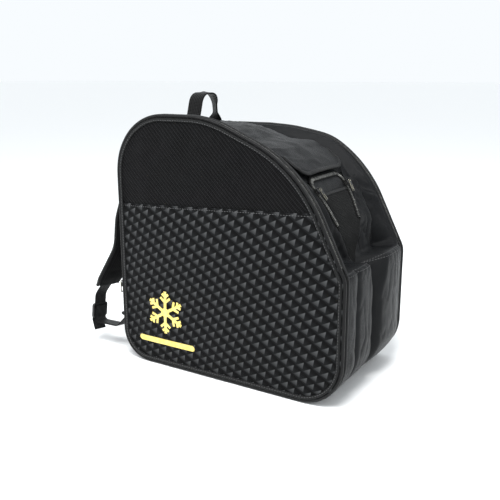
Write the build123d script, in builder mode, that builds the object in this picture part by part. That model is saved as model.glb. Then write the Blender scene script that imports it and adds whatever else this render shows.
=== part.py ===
from build123d import *
from math import cos, hypot, radians, sin, tan, atan2
import os

# Skate bag for one pair of figure skates: two boot-shaped side compartments, one for each skate,
# with a V-shaped compartment sunk between them. Millimetres, +Z up, origin at the middle of the
# base where the bag rests, +X towards the sloping toe, -X the wearer's back, -Y the left side.

# ---- driving dimensions -------------------------------------------------------------------------
LENGTH = 376.0  # back edge to toe
HEIGHT = 380.0  # base to the top of the side panels
WIDTH = 218.0  # over the faces of the two side doors

# side outline: corners measured from the back edge, and the radius at each
TOE_TOP_Z = 181.0  # where the upright toe edge turns into the slope
SHOULDER_FROM_TOE = 70.0  # slope corner, back from the toe
SHOULDER_DROP = 58.0  # slope corner, below the top
CROWN_FROM_TOE = 207.0  # where the crown meets the level top
HEEL_R = 48.0
TOE_BASE_R = 66.0
TOE_TOP_R = 30.0
SHOULDER_R = 200.0
CROWN_R = 150.0
BACK_TOP_R = 88.0

# walls
WALL = 2.0  # gusset and centre fabric with its lining
TUCK = 2.0  # gusset fabric sits this far inside the piping
PIPING = 5.0  # piping depth, measured inwards from the outline
PIPE_W = 4.0  # piping width, across the bag
CHAIN_W = 5.0  # side zip chain width
SKIN = 1.5  # face fabric of the side panels
FOAM = 2.2  # foam sheet behind it
SWING_GAP = 0.3  # running gap at a fabric hinge
CHAIN_TUCK = 1.0

# back panel layers
BACK_SKIN = 2.0
BACK_FOAM = 6.0
LINING = 1.5

# the V between the side compartments
V_FOOT_Z = 182.0
V_FOOT_HALF = 4.0
V_HEAD_DROP = 74.0  # where the V reaches its full width, below the top
V_HEAD_HALF = 72.0
DIVIDER = 1.5
LOWER_DIVIDER = 2.0
CENTRE_DROP = 16.0  # centre top panel below the outline
FLAP_LIFT = 0.4  # gap between storm flap and what it covers
BOARD = 2.0  # base stiffener
BOARD_GAP = 1.0

# side door: a straight fold between the two ends of the zip
FOLD_BACK_Z = 111.0
FOLD_FRONT_Z = 196.0
SEAM_BACK_Z = 247.0  # seam between woven and printed fabric
SEAM_FRONT_Z = 266.0

# front door, measured up the slope from the middle of the slope edge
DOOR_FOOT = -11.0
DOOR_HEAD = 54.0
SURROUND_SIDE = 2.735  # surround left beside the zip at the foot of the door
DOOR_HEAD_HALF = 34.0
DOOR_CORNER_R = 12.0
DOOR_GAP = 0.8
FRONT_CHAIN_W = 6.5
POCKET_HEAD = 36.0
POCKET_FOOT = -5.0
POCKET_MARGIN = 2.5
POCKET_DEPTH = 8.0
POCKET_SKIN = 1.5
BINDING_W = 5.0

# storm flap, as angles round the shoulder from the slope
FLAP_EDGE_ANGLE = 19.6
FLAP_SEAM_ANGLE = 32.0
FLAP_SIDE_GAP = 2.5
FLAP_CORNER_R = 22.0
FLAP_GAP_ANGLE = 0.15  # running gap at the seam of the flap
SURROUND_LAP = 4.0  # degrees of surround under the top panel
BELOW_SLOPE = -60.0  # angle round the shoulder that lies past the foot of the slope

# zip sliders and pulls
SLIDER_L = 10.0
SLIDER_W = 6.4
SLIDER_H = 5.0
SLIDER_LIFT = 2.4
SIDE_SLIDER_GAP = 0.4
SIDE_SLIDER_UP = 3.0  # above the end of the zip
FRONT_SLIDER_HEAD = 46.0
PULL_L = 19.0
PULL_W = 6.0
PULL_T = 1.4
PULL_GAP = 0.5
PULL_HOLE_R = 1.6
SLIDER_R = 1.5

# carry handle
HANDLE_FROM_BACK = 85.0
HANDLE_W = 25.0
HANDLE_T = 2.5
HANDLE_HALF = 27.0
HANDLE_RISE = 50.0
HANDLE_R = 20.0
PATCH_T = 2.0
PATCH_MARGIN = 6.0
PATCH_R = 3.0

# shoulder straps
STRAP_TOP_Y = 50.0
STRAP_TOP_DROP = 104.0
STRAP_FOOT_Y = 81.0
STRAP_FOOT_Z = 58.0
STRAP_STAND = 13.0  # swing line behind the back panel
TAB_T = 6.0
TAB_W = 28.0
TAB_REACH = 7.0  # past the swing line
TAB_GAP = 3.0
PAD_T = 12.0
PAD_W = 54.0
NECK_T = 7.0
WEB_T = 2.5
WEB_W = 25.0
BUCKLE_L = 24.0
BUCKLE_W = 32.0
BUCKLE_T = 5.0
BUCKLE_BAR = 4.0
NECK_L = 12.0  # bare strap above the pad
NECK_R = 8.0
NECK_OVERLAP = 8.0  # neck laid into the pad
PAD_LEAD = 45.0  # length over which the pad curves away from the swing line
PAD_R = 60.0
PAD_FOOT = 92.0
PAD_BACK = -9.0
BUCKLE_BACK = -66.0
BUCKLE_TOP = 8.0
WEB_DROP = 10.0  # straight webbing below the pad
WEB_LEAD = 26.0  # straight webbing into the buckle
WEB_RADII = [12.0, 24.0]
TAIL_DROP = 8.0  # straight webbing below the buckle
TAIL_BEND = (-16.0, -21.0)
TAIL_RADII = [5.0, 14.0]

# gold motif on the left lower panel
MOTIF_X = -101.0
MOTIF_Z = 88.0
MOTIF_R = 33.0
MOTIF_ARM = 4.6
MOTIF_HUB_R = 7.26
MOTIF_T = 0.6
BAR_L = 104.0
BAR_H = 9.0
BAR_Z = 40.0
BRANCHES = ((0.48, 0.34), (0.74, 0.22))  # place and length on an arm, as shares of it
BRANCH_ANGLE = 50

# ---- places worked out from the sizes -----------------------------------------------------------
BACK_X = -LENGTH / 2
TOE_X = LENGTH / 2
PANEL_Y = WIDTH / 2  # outer face of a side door
DOOR_IN_Y = PANEL_Y - SKIN - FOAM
CHAIN_OUT_Y = DOOR_IN_Y - SWING_GAP
CHAIN_IN_Y = CHAIN_OUT_Y - CHAIN_W
GUSSET_Y = CHAIN_IN_Y - PIPE_W
BACK_PANEL_X = BACK_X + TUCK
LINING_X = BACK_PANEL_X + BACK_SKIN + BACK_FOAM + LINING
BACK_TOP_Z = HEIGHT - BACK_TOP_R
SHELL_DROP = CENTRE_DROP + WALL + FLAP_LIFT  # outer face of the front surround
REACH = 3 * LENGTH
SPAN = 0.8 * LENGTH
TOP_Z = HEIGHT - CENTRE_DROP
SHOULDER_Z = HEIGHT - SHOULDER_DROP
V_HEAD_Z = HEIGHT - V_HEAD_DROP
HANDLE_TOP_Z = TOP_Z + HANDLE_RISE
STRAP_TOP_Z = HEIGHT - STRAP_TOP_DROP

SIDES = [
    ((BACK_X, 0), (TOE_X, 0)),
    ((TOE_X, 0), (TOE_X, TOE_TOP_Z)),
    ((TOE_X, TOE_TOP_Z), (TOE_X - SHOULDER_FROM_TOE, SHOULDER_Z)),
    ((TOE_X - SHOULDER_FROM_TOE, SHOULDER_Z), (TOE_X - CROWN_FROM_TOE, HEIGHT)),
    ((TOE_X - CROWN_FROM_TOE, HEIGHT), (BACK_X, HEIGHT)),
    ((BACK_X, HEIGHT), (BACK_X, 0)),
]
RADII = [HEEL_R, TOE_BASE_R, TOE_TOP_R, SHOULDER_R, CROWN_R, BACK_TOP_R]


def outline_corners(insets):
    """Corners of the side outline with each edge moved inwards by its own distance."""
    lines = []
    for (start, end), inset in zip(SIDES, insets):
        run = hypot(end[0] - start[0], end[1] - start[1])
        ux, uz = (end[0] - start[0]) / run, (end[1] - start[1]) / run
        lines.append((start[0] - uz * inset, start[1] + ux * inset, ux, uz))
    corners = []
    for i, (x2, z2, u2, w2) in enumerate(lines):
        x1, z1, u1, w1 = lines[i - 1]
        t = ((x2 - x1) * w2 - (z2 - z1) * u2) / (u1 * w2 - w1 * u2)
        corners.append((x1 + u1 * t, z1 + w1 * t))
    return corners


def outline(insets):
    """The filleted side outline."""
    radii = [r - max(insets[i], insets[i - 1]) for i, r in enumerate(RADII)]
    with BuildSketch() as shape:
        with BuildLine():
            FilletPolyline(*outline_corners(insets), radius=radii, close=True)
        make_face()
    return shape.sketch


def outline_band(insets, depth):
    """Band of even depth inside the side outline."""
    with BuildSketch() as shape:
        add(outline(insets))
        add(outline(deeper(insets, depth)), mode=Mode.SUBTRACT)
    return shape.sketch


def even(inset):
    """The same inset on all six edges."""
    return [inset] * 6


def deeper(insets, depth):
    """Every edge moved in by a further depth."""
    return [inset + depth for inset in insets]


# insets of the six edges; the base is level with the outline
GUSSET = [0, TUCK, TUCK, TUCK, TUCK, TUCK]
CENTRE = [0, CENTRE_DROP, CENTRE_DROP, CENTRE_DROP, CENTRE_DROP, TUCK]
SHELL = [0, SHELL_DROP, SHELL_DROP, SHELL_DROP, SHELL_DROP, TUCK]


def straight_shape(points):
    """Straight-sided closed shape."""
    with BuildSketch() as shape:
        with BuildLine():
            Polyline(*points, close=True)
        make_face()
    return shape.sketch


def fold_z(x):
    """Height of the side door's fold line at a distance along the bag."""
    return FOLD_BACK_Z + (FOLD_FRONT_Z - FOLD_BACK_Z) * (x - BACK_X) / LENGTH


def seam_z(x):
    """Height of the seam between the woven and the printed fabric."""
    return SEAM_BACK_Z + (SEAM_FRONT_Z - SEAM_BACK_Z) * (x - BACK_X) / LENGTH


def between(low, high):
    """All that lies between two lines, each given by its height at both ends of the span."""
    return straight_shape([(-SPAN, low[0]), (SPAN, low[1]), (SPAN, high[1]), (-SPAN, high[0])])


def line_ends(height, shift=0.0):
    """A line's heights at both ends of the span."""
    return height(-SPAN) + shift, height(SPAN) + shift


FLOOR = (-REACH, -REACH)
SKY = (REACH, REACH)
FOOT_LINE = (V_FOOT_Z, V_FOOT_Z)

# shoulder arc and the plane of the slope
slope_run = hypot(SHOULDER_FROM_TOE, SHOULDER_Z - TOE_TOP_Z)
down = Vector(SHOULDER_FROM_TOE, 0, TOE_TOP_Z - SHOULDER_Z) / slope_run
out = Vector(-down.Z, 0, down.X)
shoulder = Vector(TOE_X - SHOULDER_FROM_TOE, 0, SHOULDER_Z)
slope_angle = atan2(SHOULDER_Z - TOE_TOP_Z, SHOULDER_FROM_TOE)
crown_angle = atan2(HEIGHT - SHOULDER_Z, CROWN_FROM_TOE - SHOULDER_FROM_TOE)
shoulder_tangent = SHOULDER_R * tan((slope_angle - crown_angle) / 2)
arc_centre = shoulder + down * shoulder_tangent - out * SHOULDER_R
slope_middle = shoulder + down * (slope_run / 2)
FRONT = Plane(origin=slope_middle, x_dir=(0, 1, 0), z_dir=out)


def arc_direction(angle):
    """Outward direction on the shoulder, an angle round from the slope towards the top."""
    turn = radians(angle)
    return out * cos(turn) - down * sin(turn)


def arc_point(angle, inset):
    """Point on the shoulder arc, set in from the outline."""
    return arc_centre + arc_direction(angle) * (SHOULDER_R - inset)


def sector(low_angle, high_angle):
    """The wedge of the side view between two angles round the shoulder."""
    corners = [(arc_centre.X, arc_centre.Z)]
    steps = 4
    for i in range(steps + 1):
        far = arc_centre + arc_direction(low_angle + (high_angle - low_angle) * i / steps) * REACH
        corners.append((far.X, far.Z))
    return straight_shape(corners)


v_rise = V_HEAD_Z - V_FOOT_Z
v_spread = V_HEAD_HALF - V_FOOT_HALF


def v_shape(inset):
    """The V between the side compartments, as seen along the bag, drawn in by an inset."""
    lean = atan2(v_spread, v_rise)
    foot = V_FOOT_HALF - inset * (1 - sin(lean)) / cos(lean)
    head_z = V_HEAD_Z + inset * tan(lean / 2)
    half = V_HEAD_HALF - inset
    right = [(foot, V_FOOT_Z + inset), (half, head_z), (half, REACH)]
    return straight_shape(right + [(-y, z) for y, z in reversed(right)])


def side_plane(y):
    """Plane of the side view at a distance to the left of the middle."""
    return Plane.XZ.offset(y)


os.makedirs("parts", exist_ok=True)


def write(piece, name):
    """Label one finished piece and write it."""
    piece.part.label = name
    export_step(piece.part, f"parts/{name}.step")


def write_pair(left, name):
    """Write the left piece and its mirror image on the right."""
    write(left, f"left_{name}")
    with BuildPart() as right:
        mirror(left.part, about=Plane.XZ)
    write(right, f"right_{name}")


# ---- base, back and toe -------------------------------------------------------------------------
with BuildPart() as base_panel:
    with BuildSketch(side_plane(-GUSSET_Y)):
        add(outline_band(GUSSET, WALL))
        with Locations((0, HEEL_R), (TOE_X, TOE_BASE_R)):
            Rectangle(LENGTH, REACH, align=(Align.MAX, Align.MIN), mode=Mode.SUBTRACT)
    extrude(amount=2 * GUSSET_Y)
write(base_panel, "base_panel")

with BuildPart() as base_board:
    with BuildSketch(Plane.XY.offset(WALL)):
        with Locations(((BACK_X + HEEL_R + TOE_X - TOE_BASE_R) / 2, -GUSSET_Y / 2)):
            Rectangle(LENGTH - HEEL_R - TOE_BASE_R, GUSSET_Y - LOWER_DIVIDER - 2 * BOARD_GAP)
    extrude(amount=BOARD)
write_pair(base_board, "base_board")


def back_layer(x, thickness):
    """One flat layer of the back panel."""
    with BuildPart() as layer:
        with BuildSketch(Plane.YZ.offset(x)):
            with Locations((0, HEEL_R)):
                Rectangle(2 * GUSSET_Y, BACK_TOP_Z - HEEL_R, align=(Align.CENTER, Align.MIN))
        extrude(amount=thickness)
    return layer


write(back_layer(BACK_PANEL_X, BACK_SKIN), "back_panel")
write(back_layer(BACK_PANEL_X + BACK_SKIN, BACK_FOAM), "back_foam")
write(back_layer(BACK_PANEL_X + BACK_SKIN + BACK_FOAM, LINING), "back_lining")

with BuildPart() as toe_panel:
    with BuildSketch(side_plane(0)):
        add(outline_band(GUSSET, WALL))
        add(between((TOE_BASE_R, TOE_BASE_R), FOOT_LINE), mode=Mode.INTERSECT)
        with Locations((0, 0)):
            Rectangle(REACH, 2 * REACH, align=(Align.MAX, Align.CENTER), mode=Mode.SUBTRACT)
    extrude(amount=GUSSET_Y)
write_pair(toe_panel, "toe_panel")

# ---- side gussets over the top, and the dividers ------------------------------------------------
with BuildPart() as gusset:
    with BuildSketch(side_plane(0)):
        add(outline_band(GUSSET, WALL))
        with Locations((0, V_FOOT_Z)):
            Rectangle(REACH, REACH, align=(Align.MIN, Align.MAX), mode=Mode.SUBTRACT)
        with Locations((0, BACK_TOP_Z)):
            Rectangle(REACH, REACH, align=(Align.MAX, Align.MAX), mode=Mode.SUBTRACT)
    extrude(amount=GUSSET_Y)
    with BuildSketch(Plane.YZ):
        add(v_shape(0))
    extrude(amount=REACH, both=True, mode=Mode.SUBTRACT)
write_pair(gusset, "gusset")

with BuildPart() as divider:
    with BuildSketch(side_plane(0)):
        add(outline(GUSSET))
        with Locations((LINING_X, BACK_TOP_Z)):
            Rectangle(REACH, REACH, align=(Align.MAX, Align.MAX), mode=Mode.SUBTRACT)
    extrude(amount=GUSSET_Y)
    with BuildSketch(Plane.YZ):
        add(v_shape(0))
        add(v_shape(DIVIDER), mode=Mode.SUBTRACT)
    extrude(amount=REACH, both=True, mode=Mode.INTERSECT)
write_pair(divider, "divider")

with BuildPart() as lower_divider:
    with BuildSketch(side_plane(-LOWER_DIVIDER / 2)):
        add(outline(deeper(GUSSET, WALL)))
        add(between(FLOOR, FOOT_LINE), mode=Mode.INTERSECT)
        with Locations((LINING_X, HEEL_R)):
            Rectangle(REACH, REACH, align=(Align.MAX, Align.MIN), mode=Mode.SUBTRACT)
    extrude(amount=LOWER_DIVIDER)
write(lower_divider, "lower_divider")

# ---- centre: top panel, front surround, zip, door, pocket, storm flap ----------------------------
CENTRE_HALF = V_HEAD_HALF - DIVIDER

# the foot of the front door and its zip fill the V there
door_foot_z = FRONT.from_local_coords(Vector(0, DOOR_FOOT, -SHELL_DROP - WALL)).Z
v_half_at_foot = V_FOOT_HALF + v_spread * (door_foot_z - V_FOOT_Z) / v_rise
DOOR_FOOT_HALF = v_half_at_foot - DIVIDER - FRONT_CHAIN_W - SURROUND_SIDE
door_lean = (DOOR_HEAD_HALF - DOOR_FOOT_HALF) / (DOOR_HEAD - DOOR_FOOT)

with BuildPart() as centre_top_panel:
    with BuildSketch(side_plane(-CENTRE_HALF)):
        add(outline_band(CENTRE, WALL + FLAP_LIFT))
        add(sector(FLAP_SEAM_ANGLE - 90, FLAP_SEAM_ANGLE), mode=Mode.SUBTRACT)
        with Locations((arc_centre.X, BACK_TOP_Z)):
            Rectangle(2 * REACH, REACH, align=(Align.CENTER, Align.MAX), mode=Mode.SUBTRACT)
    extrude(amount=2 * CENTRE_HALF)
    with BuildSketch(Plane.YZ):
        add(v_shape(DIVIDER))
    extrude(amount=REACH, both=True, mode=Mode.INTERSECT)
write(centre_top_panel, "centre_top_panel")


def door_shape(grow, foot):
    """The front door's shape, grown by a margin, down to a foot line on the slope."""
    head = DOOR_HEAD + grow
    side = grow * hypot(1, door_lean)
    head_half = DOOR_HEAD_HALF + side + door_lean * grow
    foot_half = DOOR_FOOT_HALF + side + door_lean * (foot - DOOR_FOOT)
    head_r = DOOR_CORNER_R + grow
    corners = [(-foot_half, foot), (foot_half, foot), (head_half, head), (-head_half, head)]
    with BuildSketch() as shape:
        with BuildLine():
            FilletPolyline(*corners, radius=[0, 0, head_r, head_r], close=True)
        make_face()
    return shape.sketch


def centre_sheet(insets, thickness):
    """Sheet that follows the centre's side outline, down the slope from the seam of the flap."""
    with BuildPart() as sheet:
        with BuildSketch(side_plane(-CENTRE_HALF)):
            add(outline_band(insets, thickness))
            with Locations((arc_centre.X, V_FOOT_Z)):
                Rectangle(REACH, REACH, align=(Align.MIN, Align.MIN), mode=Mode.INTERSECT)
            add(sector(BELOW_SLOPE, FLAP_SEAM_ANGLE + SURROUND_LAP), mode=Mode.INTERSECT)
        extrude(amount=2 * CENTRE_HALF)
    return sheet.part


CUT_DEPTH = SHOULDER_R / 2

with BuildPart() as front_surround:
    add(centre_sheet(SHELL, WALL))
    with BuildSketch(Plane.YZ):
        add(v_shape(DIVIDER))
    extrude(amount=REACH, both=True, mode=Mode.INTERSECT)
    with BuildSketch(FRONT):
        add(door_shape(FRONT_CHAIN_W, DOOR_FOOT))
    extrude(amount=CUT_DEPTH, both=True, mode=Mode.SUBTRACT)
write(front_surround, "front_surround")

with BuildPart() as front_zip_chain:
    add(centre_sheet(SHELL, WALL))
    with BuildSketch(FRONT):
        add(door_shape(FRONT_CHAIN_W, DOOR_FOOT))
        add(door_shape(0, DOOR_FOOT), mode=Mode.SUBTRACT)
    extrude(amount=CUT_DEPTH, both=True, mode=Mode.INTERSECT)
write(front_zip_chain, "front_zip_chain")

with BuildPart() as front_door:
    add(centre_sheet(SHELL, WALL))
    with BuildSketch(FRONT):
        add(door_shape(-DOOR_GAP, DOOR_FOOT + SWING_GAP))
    extrude(amount=CUT_DEPTH, both=True, mode=Mode.INTERSECT)
write(front_door, "front_door")


def pocket_block(depth, margin, foot, head):
    """Block standing on the front door, between two heights on the slope."""
    with BuildPart() as block:
        add(centre_sheet(deeper(SHELL, -depth), depth))
        with BuildSketch(FRONT):
            add(door_shape(-margin, foot))
            with Locations((0, head)):
                Rectangle(REACH, REACH, align=(Align.CENTER, Align.MIN), mode=Mode.SUBTRACT)
        extrude(amount=CUT_DEPTH, both=True, mode=Mode.INTERSECT)
    return block.part


space_margin = POCKET_MARGIN + POCKET_SKIN
pocket_space = pocket_block(POCKET_DEPTH, space_margin, POCKET_FOOT + POCKET_SKIN, DOOR_HEAD)
binding_foot = POCKET_HEAD - BINDING_W

with BuildPart() as mesh_pocket:
    add(pocket_block(POCKET_DEPTH + POCKET_SKIN, POCKET_MARGIN, POCKET_FOOT, binding_foot))
    add(pocket_space, mode=Mode.SUBTRACT)
write(mesh_pocket, "mesh_pocket")

with BuildPart() as pocket_binding:
    add(pocket_block(POCKET_DEPTH + POCKET_SKIN, POCKET_MARGIN, binding_foot, POCKET_HEAD))
    add(pocket_space, mode=Mode.SUBTRACT)
write(pocket_binding, "pocket_binding")

flap_middle = (FLAP_EDGE_ANGLE + FLAP_SEAM_ANGLE) / 2
flap_half = CENTRE_HALF - FLAP_SIDE_GAP
flap_r = SHOULDER_R - CENTRE_DROP
flap_drop = flap_r * sin(radians(flap_middle - FLAP_EDGE_ANGLE))
flap_top = flap_r * sin(radians(FLAP_SEAM_ANGLE - flap_middle)) + WALL
FLAP = Plane(
    origin=arc_point(flap_middle, CENTRE_DROP),
    x_dir=(0, 1, 0),
    z_dir=arc_direction(flap_middle),
)


def flap_shape(trim, top):
    """Flat shape of the storm flap with rounded lower corners, drawn in by a trim."""
    half = flap_half - trim
    foot = trim - flap_drop
    corners = [(-half, top), (-half, foot), (half, foot), (half, top)]
    corner_r = FLAP_CORNER_R - trim
    with BuildSketch() as shape:
        with BuildLine():
            FilletPolyline(*corners, radius=[0, corner_r, corner_r, 0], close=True)
        make_face()
    return shape.sketch


def flap_piece(edge_only):
    """The bound edge of the storm flap, or the flap inside it."""
    with BuildPart() as piece:
        with BuildSketch(side_plane(-flap_half)):
            add(outline_band(CENTRE, WALL))
            add(sector(BELOW_SLOPE, FLAP_SEAM_ANGLE - FLAP_GAP_ANGLE), mode=Mode.INTERSECT)
        extrude(amount=2 * flap_half)
        with BuildSketch(FLAP):
            if edge_only:
                add(flap_shape(0, flap_top))
                add(flap_shape(BINDING_W, 2 * flap_top), mode=Mode.SUBTRACT)
            else:
                add(flap_shape(BINDING_W, flap_top))
        extrude(amount=CUT_DEPTH, both=True, mode=Mode.INTERSECT)
        with BuildSketch(Plane.YZ):
            add(v_shape(DIVIDER + FLAP_SIDE_GAP))
        extrude(amount=REACH, both=True, mode=Mode.INTERSECT)
    return piece


write(flap_piece(True), "flap_binding")
write(flap_piece(False), "storm_flap")

# ---- side panels, pipings and zips --------------------------------------------------------------


def side_slice(outer, inner, y_in, thickness, low, high):
    """Ring or plate of the side view, between two lines, at a place across the bag."""
    with BuildPart() as piece:
        with BuildSketch(side_plane(y_in)):
            add(outline(even(outer)))
            if inner:
                add(outline(even(inner)), mode=Mode.SUBTRACT)
            add(between(low, high), mode=Mode.INTERSECT)
        extrude(amount=thickness)
    return piece


door_low = line_ends(fold_z, SWING_GAP / 2)
fixed_high = line_ends(fold_z, -SWING_GAP / 2)
seam = line_ends(seam_z)
door_depth = SKIN + FOAM

write_pair(side_slice(PIPING, None, DOOR_IN_Y + FOAM, SKIN, seam, SKY), "mesh_panel")
write_pair(side_slice(PIPING, None, DOOR_IN_Y + FOAM, SKIN, door_low, seam), "print_panel")
write_pair(side_slice(PIPING, None, DOOR_IN_Y, FOAM, door_low, SKY), "door_foam")
write_pair(side_slice(0, PIPING, DOOR_IN_Y, door_depth, door_low, SKY), "door_piping")
write_pair(side_slice(PIPING, None, DOOR_IN_Y, door_depth, FLOOR, fixed_high), "lower_panel")
write_pair(side_slice(0, PIPING, CHAIN_IN_Y, PANEL_Y - CHAIN_IN_Y, FLOOR, fixed_high), "lower_piping")
write_pair(side_slice(CHAIN_TUCK, PIPING, CHAIN_IN_Y, CHAIN_W, fixed_high, SKY), "zip_chain")
write_pair(side_slice(0, PIPING, GUSSET_Y, PIPE_W, FLOOR, SKY), "gusset_piping")

# ---- zip sliders and their pulls ----------------------------------------------------------------


def slider_body(place):
    """Slider with a bridge on top; its plane's X is across the zip and Y points up the zip."""
    with BuildPart() as slider:
        with BuildSketch(place):
            RectangleRounded(SLIDER_W, SLIDER_L, SLIDER_R)
        extrude(amount=SLIDER_H / 2)
        with BuildSketch(place.offset(SLIDER_H / 2)):
            Rectangle(SLIDER_W / 3, SLIDER_L * 0.7)
        extrude(amount=SLIDER_H / 2)
    return slider


def slider_pull(place):
    """Flat pull hanging down the zip from the slider's bridge, with a ring end."""
    with BuildPart() as pull:
        with BuildSketch(place.offset(SLIDER_H + PULL_GAP)):
            with Locations((0, SLIDER_L / 4)):
                Rectangle(PULL_W, PULL_L, align=(Align.CENTER, Align.MAX))
            fillet(vertices(), PULL_W / 3)
            with Locations((0, SLIDER_L / 4 - PULL_L + PULL_W / 2)):
                Circle(PULL_HOLE_R, mode=Mode.SUBTRACT)
        extrude(amount=PULL_T)
    return pull


side_slider_z = fold_z(BACK_X) + SIDE_SLIDER_UP + SLIDER_L / 2
SIDE_SLIDER = Plane(
    origin=(BACK_X - SIDE_SLIDER_GAP, -(CHAIN_OUT_Y - SLIDER_W / 2), side_slider_z),
    x_dir=(0, -1, 0),
    z_dir=(-1, 0, 0),
)
write_pair(slider_body(SIDE_SLIDER), "zip_slider")
write_pair(slider_pull(SIDE_SLIDER), "zip_pull")

def leg_point(height):
    """Point on the left leg of the front zip, at a height on the slope."""
    half = DOOR_FOOT_HALF + FRONT_CHAIN_W / 2 * hypot(1, door_lean) + door_lean * (height - DOOR_FOOT)
    return FRONT.from_local_coords(Vector(-half, height, -slope_depth(height, SHELL_DROP)))


def slope_depth(height, inset):
    """How far the inset face lies behind the plane of the slope, at a height on it."""
    past = max(0.0, height - slope_run / 2 + shoulder_tangent)
    radius = SHOULDER_R - inset
    return inset + radius - (radius**2 - past**2) ** 0.5


leg_head = leg_point(FRONT_SLIDER_HEAD)
leg_down = (leg_point(DOOR_FOOT) - leg_head).normalized()
leg_across = Vector(0, 1, 0) - leg_down * leg_down.Y
leg_out = leg_across.normalized().cross(-leg_down)
FRONT_SLIDER = Plane(origin=leg_head + leg_out * SLIDER_LIFT, x_dir=leg_across, z_dir=leg_out)
write_pair(slider_body(FRONT_SLIDER), "front_slider")
write_pair(slider_pull(FRONT_SLIDER), "front_pull")

# ---- carry handle -------------------------------------------------------------------------------
HANDLE_X = BACK_X + HANDLE_FROM_BACK
HANDLE_AXIS_Z = TOP_Z + PATCH_T + SWING_GAP + HANDLE_W / 2

with BuildPart() as handle_patch:
    with BuildSketch(Plane.XY.offset(TOP_Z)):
        with Locations((HANDLE_X, 0)):
            RectangleRounded(HANDLE_W + 2 * PATCH_MARGIN, 2 * (HANDLE_HALF + PATCH_MARGIN), PATCH_R)
    extrude(amount=PATCH_T)
write(handle_patch, "handle_patch")


def handle_shape(inset):
    """Round-topped shape of the handle loop, seen along the bag, drawn in by an inset."""
    half = HANDLE_HALF - inset
    top = HANDLE_TOP_Z - inset
    corners = [(-half, TOP_Z), (half, TOP_Z), (half, top), (-half, top)]
    with BuildSketch() as shape:
        with BuildLine():
            FilletPolyline(*corners, radius=[0, 0, HANDLE_R - inset, HANDLE_R - inset], close=True)
        make_face()
    return shape.sketch


with BuildPart() as carry_handle:
    with BuildSketch(Plane.YZ.offset(HANDLE_X - HANDLE_W / 2)):
        add(handle_shape(0))
        add(handle_shape(HANDLE_T), mode=Mode.SUBTRACT)
    extrude(amount=HANDLE_W)
    with BuildSketch(side_plane(-HANDLE_HALF)):
        with Locations((HANDLE_X, HANDLE_AXIS_Z)):
            Circle(HANDLE_W / 2)
            Rectangle(HANDLE_W, REACH, align=(Align.CENTER, Align.MIN))
    extrude(amount=2 * HANDLE_HALF, mode=Mode.INTERSECT)
write(carry_handle, "carry_handle")

# ---- shoulder straps ----------------------------------------------------------------------------
SWING_X = BACK_PANEL_X - STRAP_STAND
swing_foot = Vector(SWING_X, -STRAP_FOOT_Y, STRAP_FOOT_Z)
swing_top = Vector(SWING_X, -STRAP_TOP_Y, STRAP_TOP_Z)
swing_up = (swing_top - swing_foot).normalized()
swing_run = (swing_top - swing_foot).length
SWING = Plane(origin=swing_foot, x_dir=(1, 0, 0), z_dir=Vector(1, 0, 0).cross(swing_up))


def strap_tab(height):
    """Webbing tab standing out from the back panel above one end of the strap."""
    with BuildPart() as tab:
        with BuildSketch(SWING):
            with Locations((STRAP_STAND, height)):
                Rectangle(STRAP_STAND + TAB_REACH, TAB_T, align=(Align.MAX, Align.MIN))
        extrude(amount=TAB_W / 2, both=True)
    return tab


write_pair(strap_tab(swing_run), "strap_anchor")
write_pair(strap_tab(0), "corner_tab")

# side view of the strap, from the swing line: backwards is -X, heights are along the swing line
NECK_TOP = swing_run - TAB_GAP
PAD_TOP = NECK_TOP - NECK_L
PAD_TOP_BACK = -4.0  # clears the back panel as the strap swings
BUCKLE_FOOT = BUCKLE_TOP - BUCKLE_L


def strap_band(points, radii, thickness, width):
    """Band of even thickness along a path in the side view of the strap."""
    with BuildPart() as band:
        with BuildSketch(SWING):
            with BuildLine():
                FilletPolyline(*points, radius=radii)
            trace(line_width=thickness)
        extrude(amount=width / 2, both=True)
    return band.part


with BuildPart() as strap_pad:
    pad_line = [(PAD_TOP_BACK, PAD_TOP), (PAD_BACK, PAD_TOP - PAD_LEAD), (PAD_BACK, PAD_FOOT)]
    add(strap_band(pad_line, [PAD_R], PAD_T, PAD_W))
    neck_line = [(0, NECK_TOP), (0, PAD_TOP + 2), (PAD_TOP_BACK, PAD_TOP - NECK_OVERLAP)]
    add(strap_band(neck_line, [NECK_R], NECK_T, TAB_W))
write_pair(strap_pad, "strap_pad")

with BuildPart() as strap_webbing:
    upper_line = [
        (PAD_BACK, PAD_FOOT),
        (PAD_BACK, PAD_FOOT - WEB_DROP),
        (BUCKLE_BACK, BUCKLE_TOP + WEB_LEAD),
        (BUCKLE_BACK, BUCKLE_TOP),
    ]
    add(strap_band(upper_line, WEB_RADII, WEB_T, WEB_W))
    lower_line = [
        (BUCKLE_BACK, BUCKLE_FOOT),
        (BUCKLE_BACK, BUCKLE_FOOT - TAIL_DROP),
        TAIL_BEND,
        (0, -TAB_GAP),
    ]
    add(strap_band(lower_line, TAIL_RADII, WEB_T, WEB_W))
write_pair(strap_webbing, "strap_webbing")

with BuildPart() as strap_buckle:
    with BuildSketch(SWING.offset(-BUCKLE_W / 2)):
        with Locations((BUCKLE_BACK, BUCKLE_TOP)):
            Rectangle(BUCKLE_T, BUCKLE_L, align=(Align.CENTER, Align.MAX))
    extrude(amount=BUCKLE_W)
    fillet(strap_buckle.edges().filter_by(Axis.X), BUCKLE_BAR / 2)
write_pair(strap_buckle, "strap_buckle")

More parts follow.
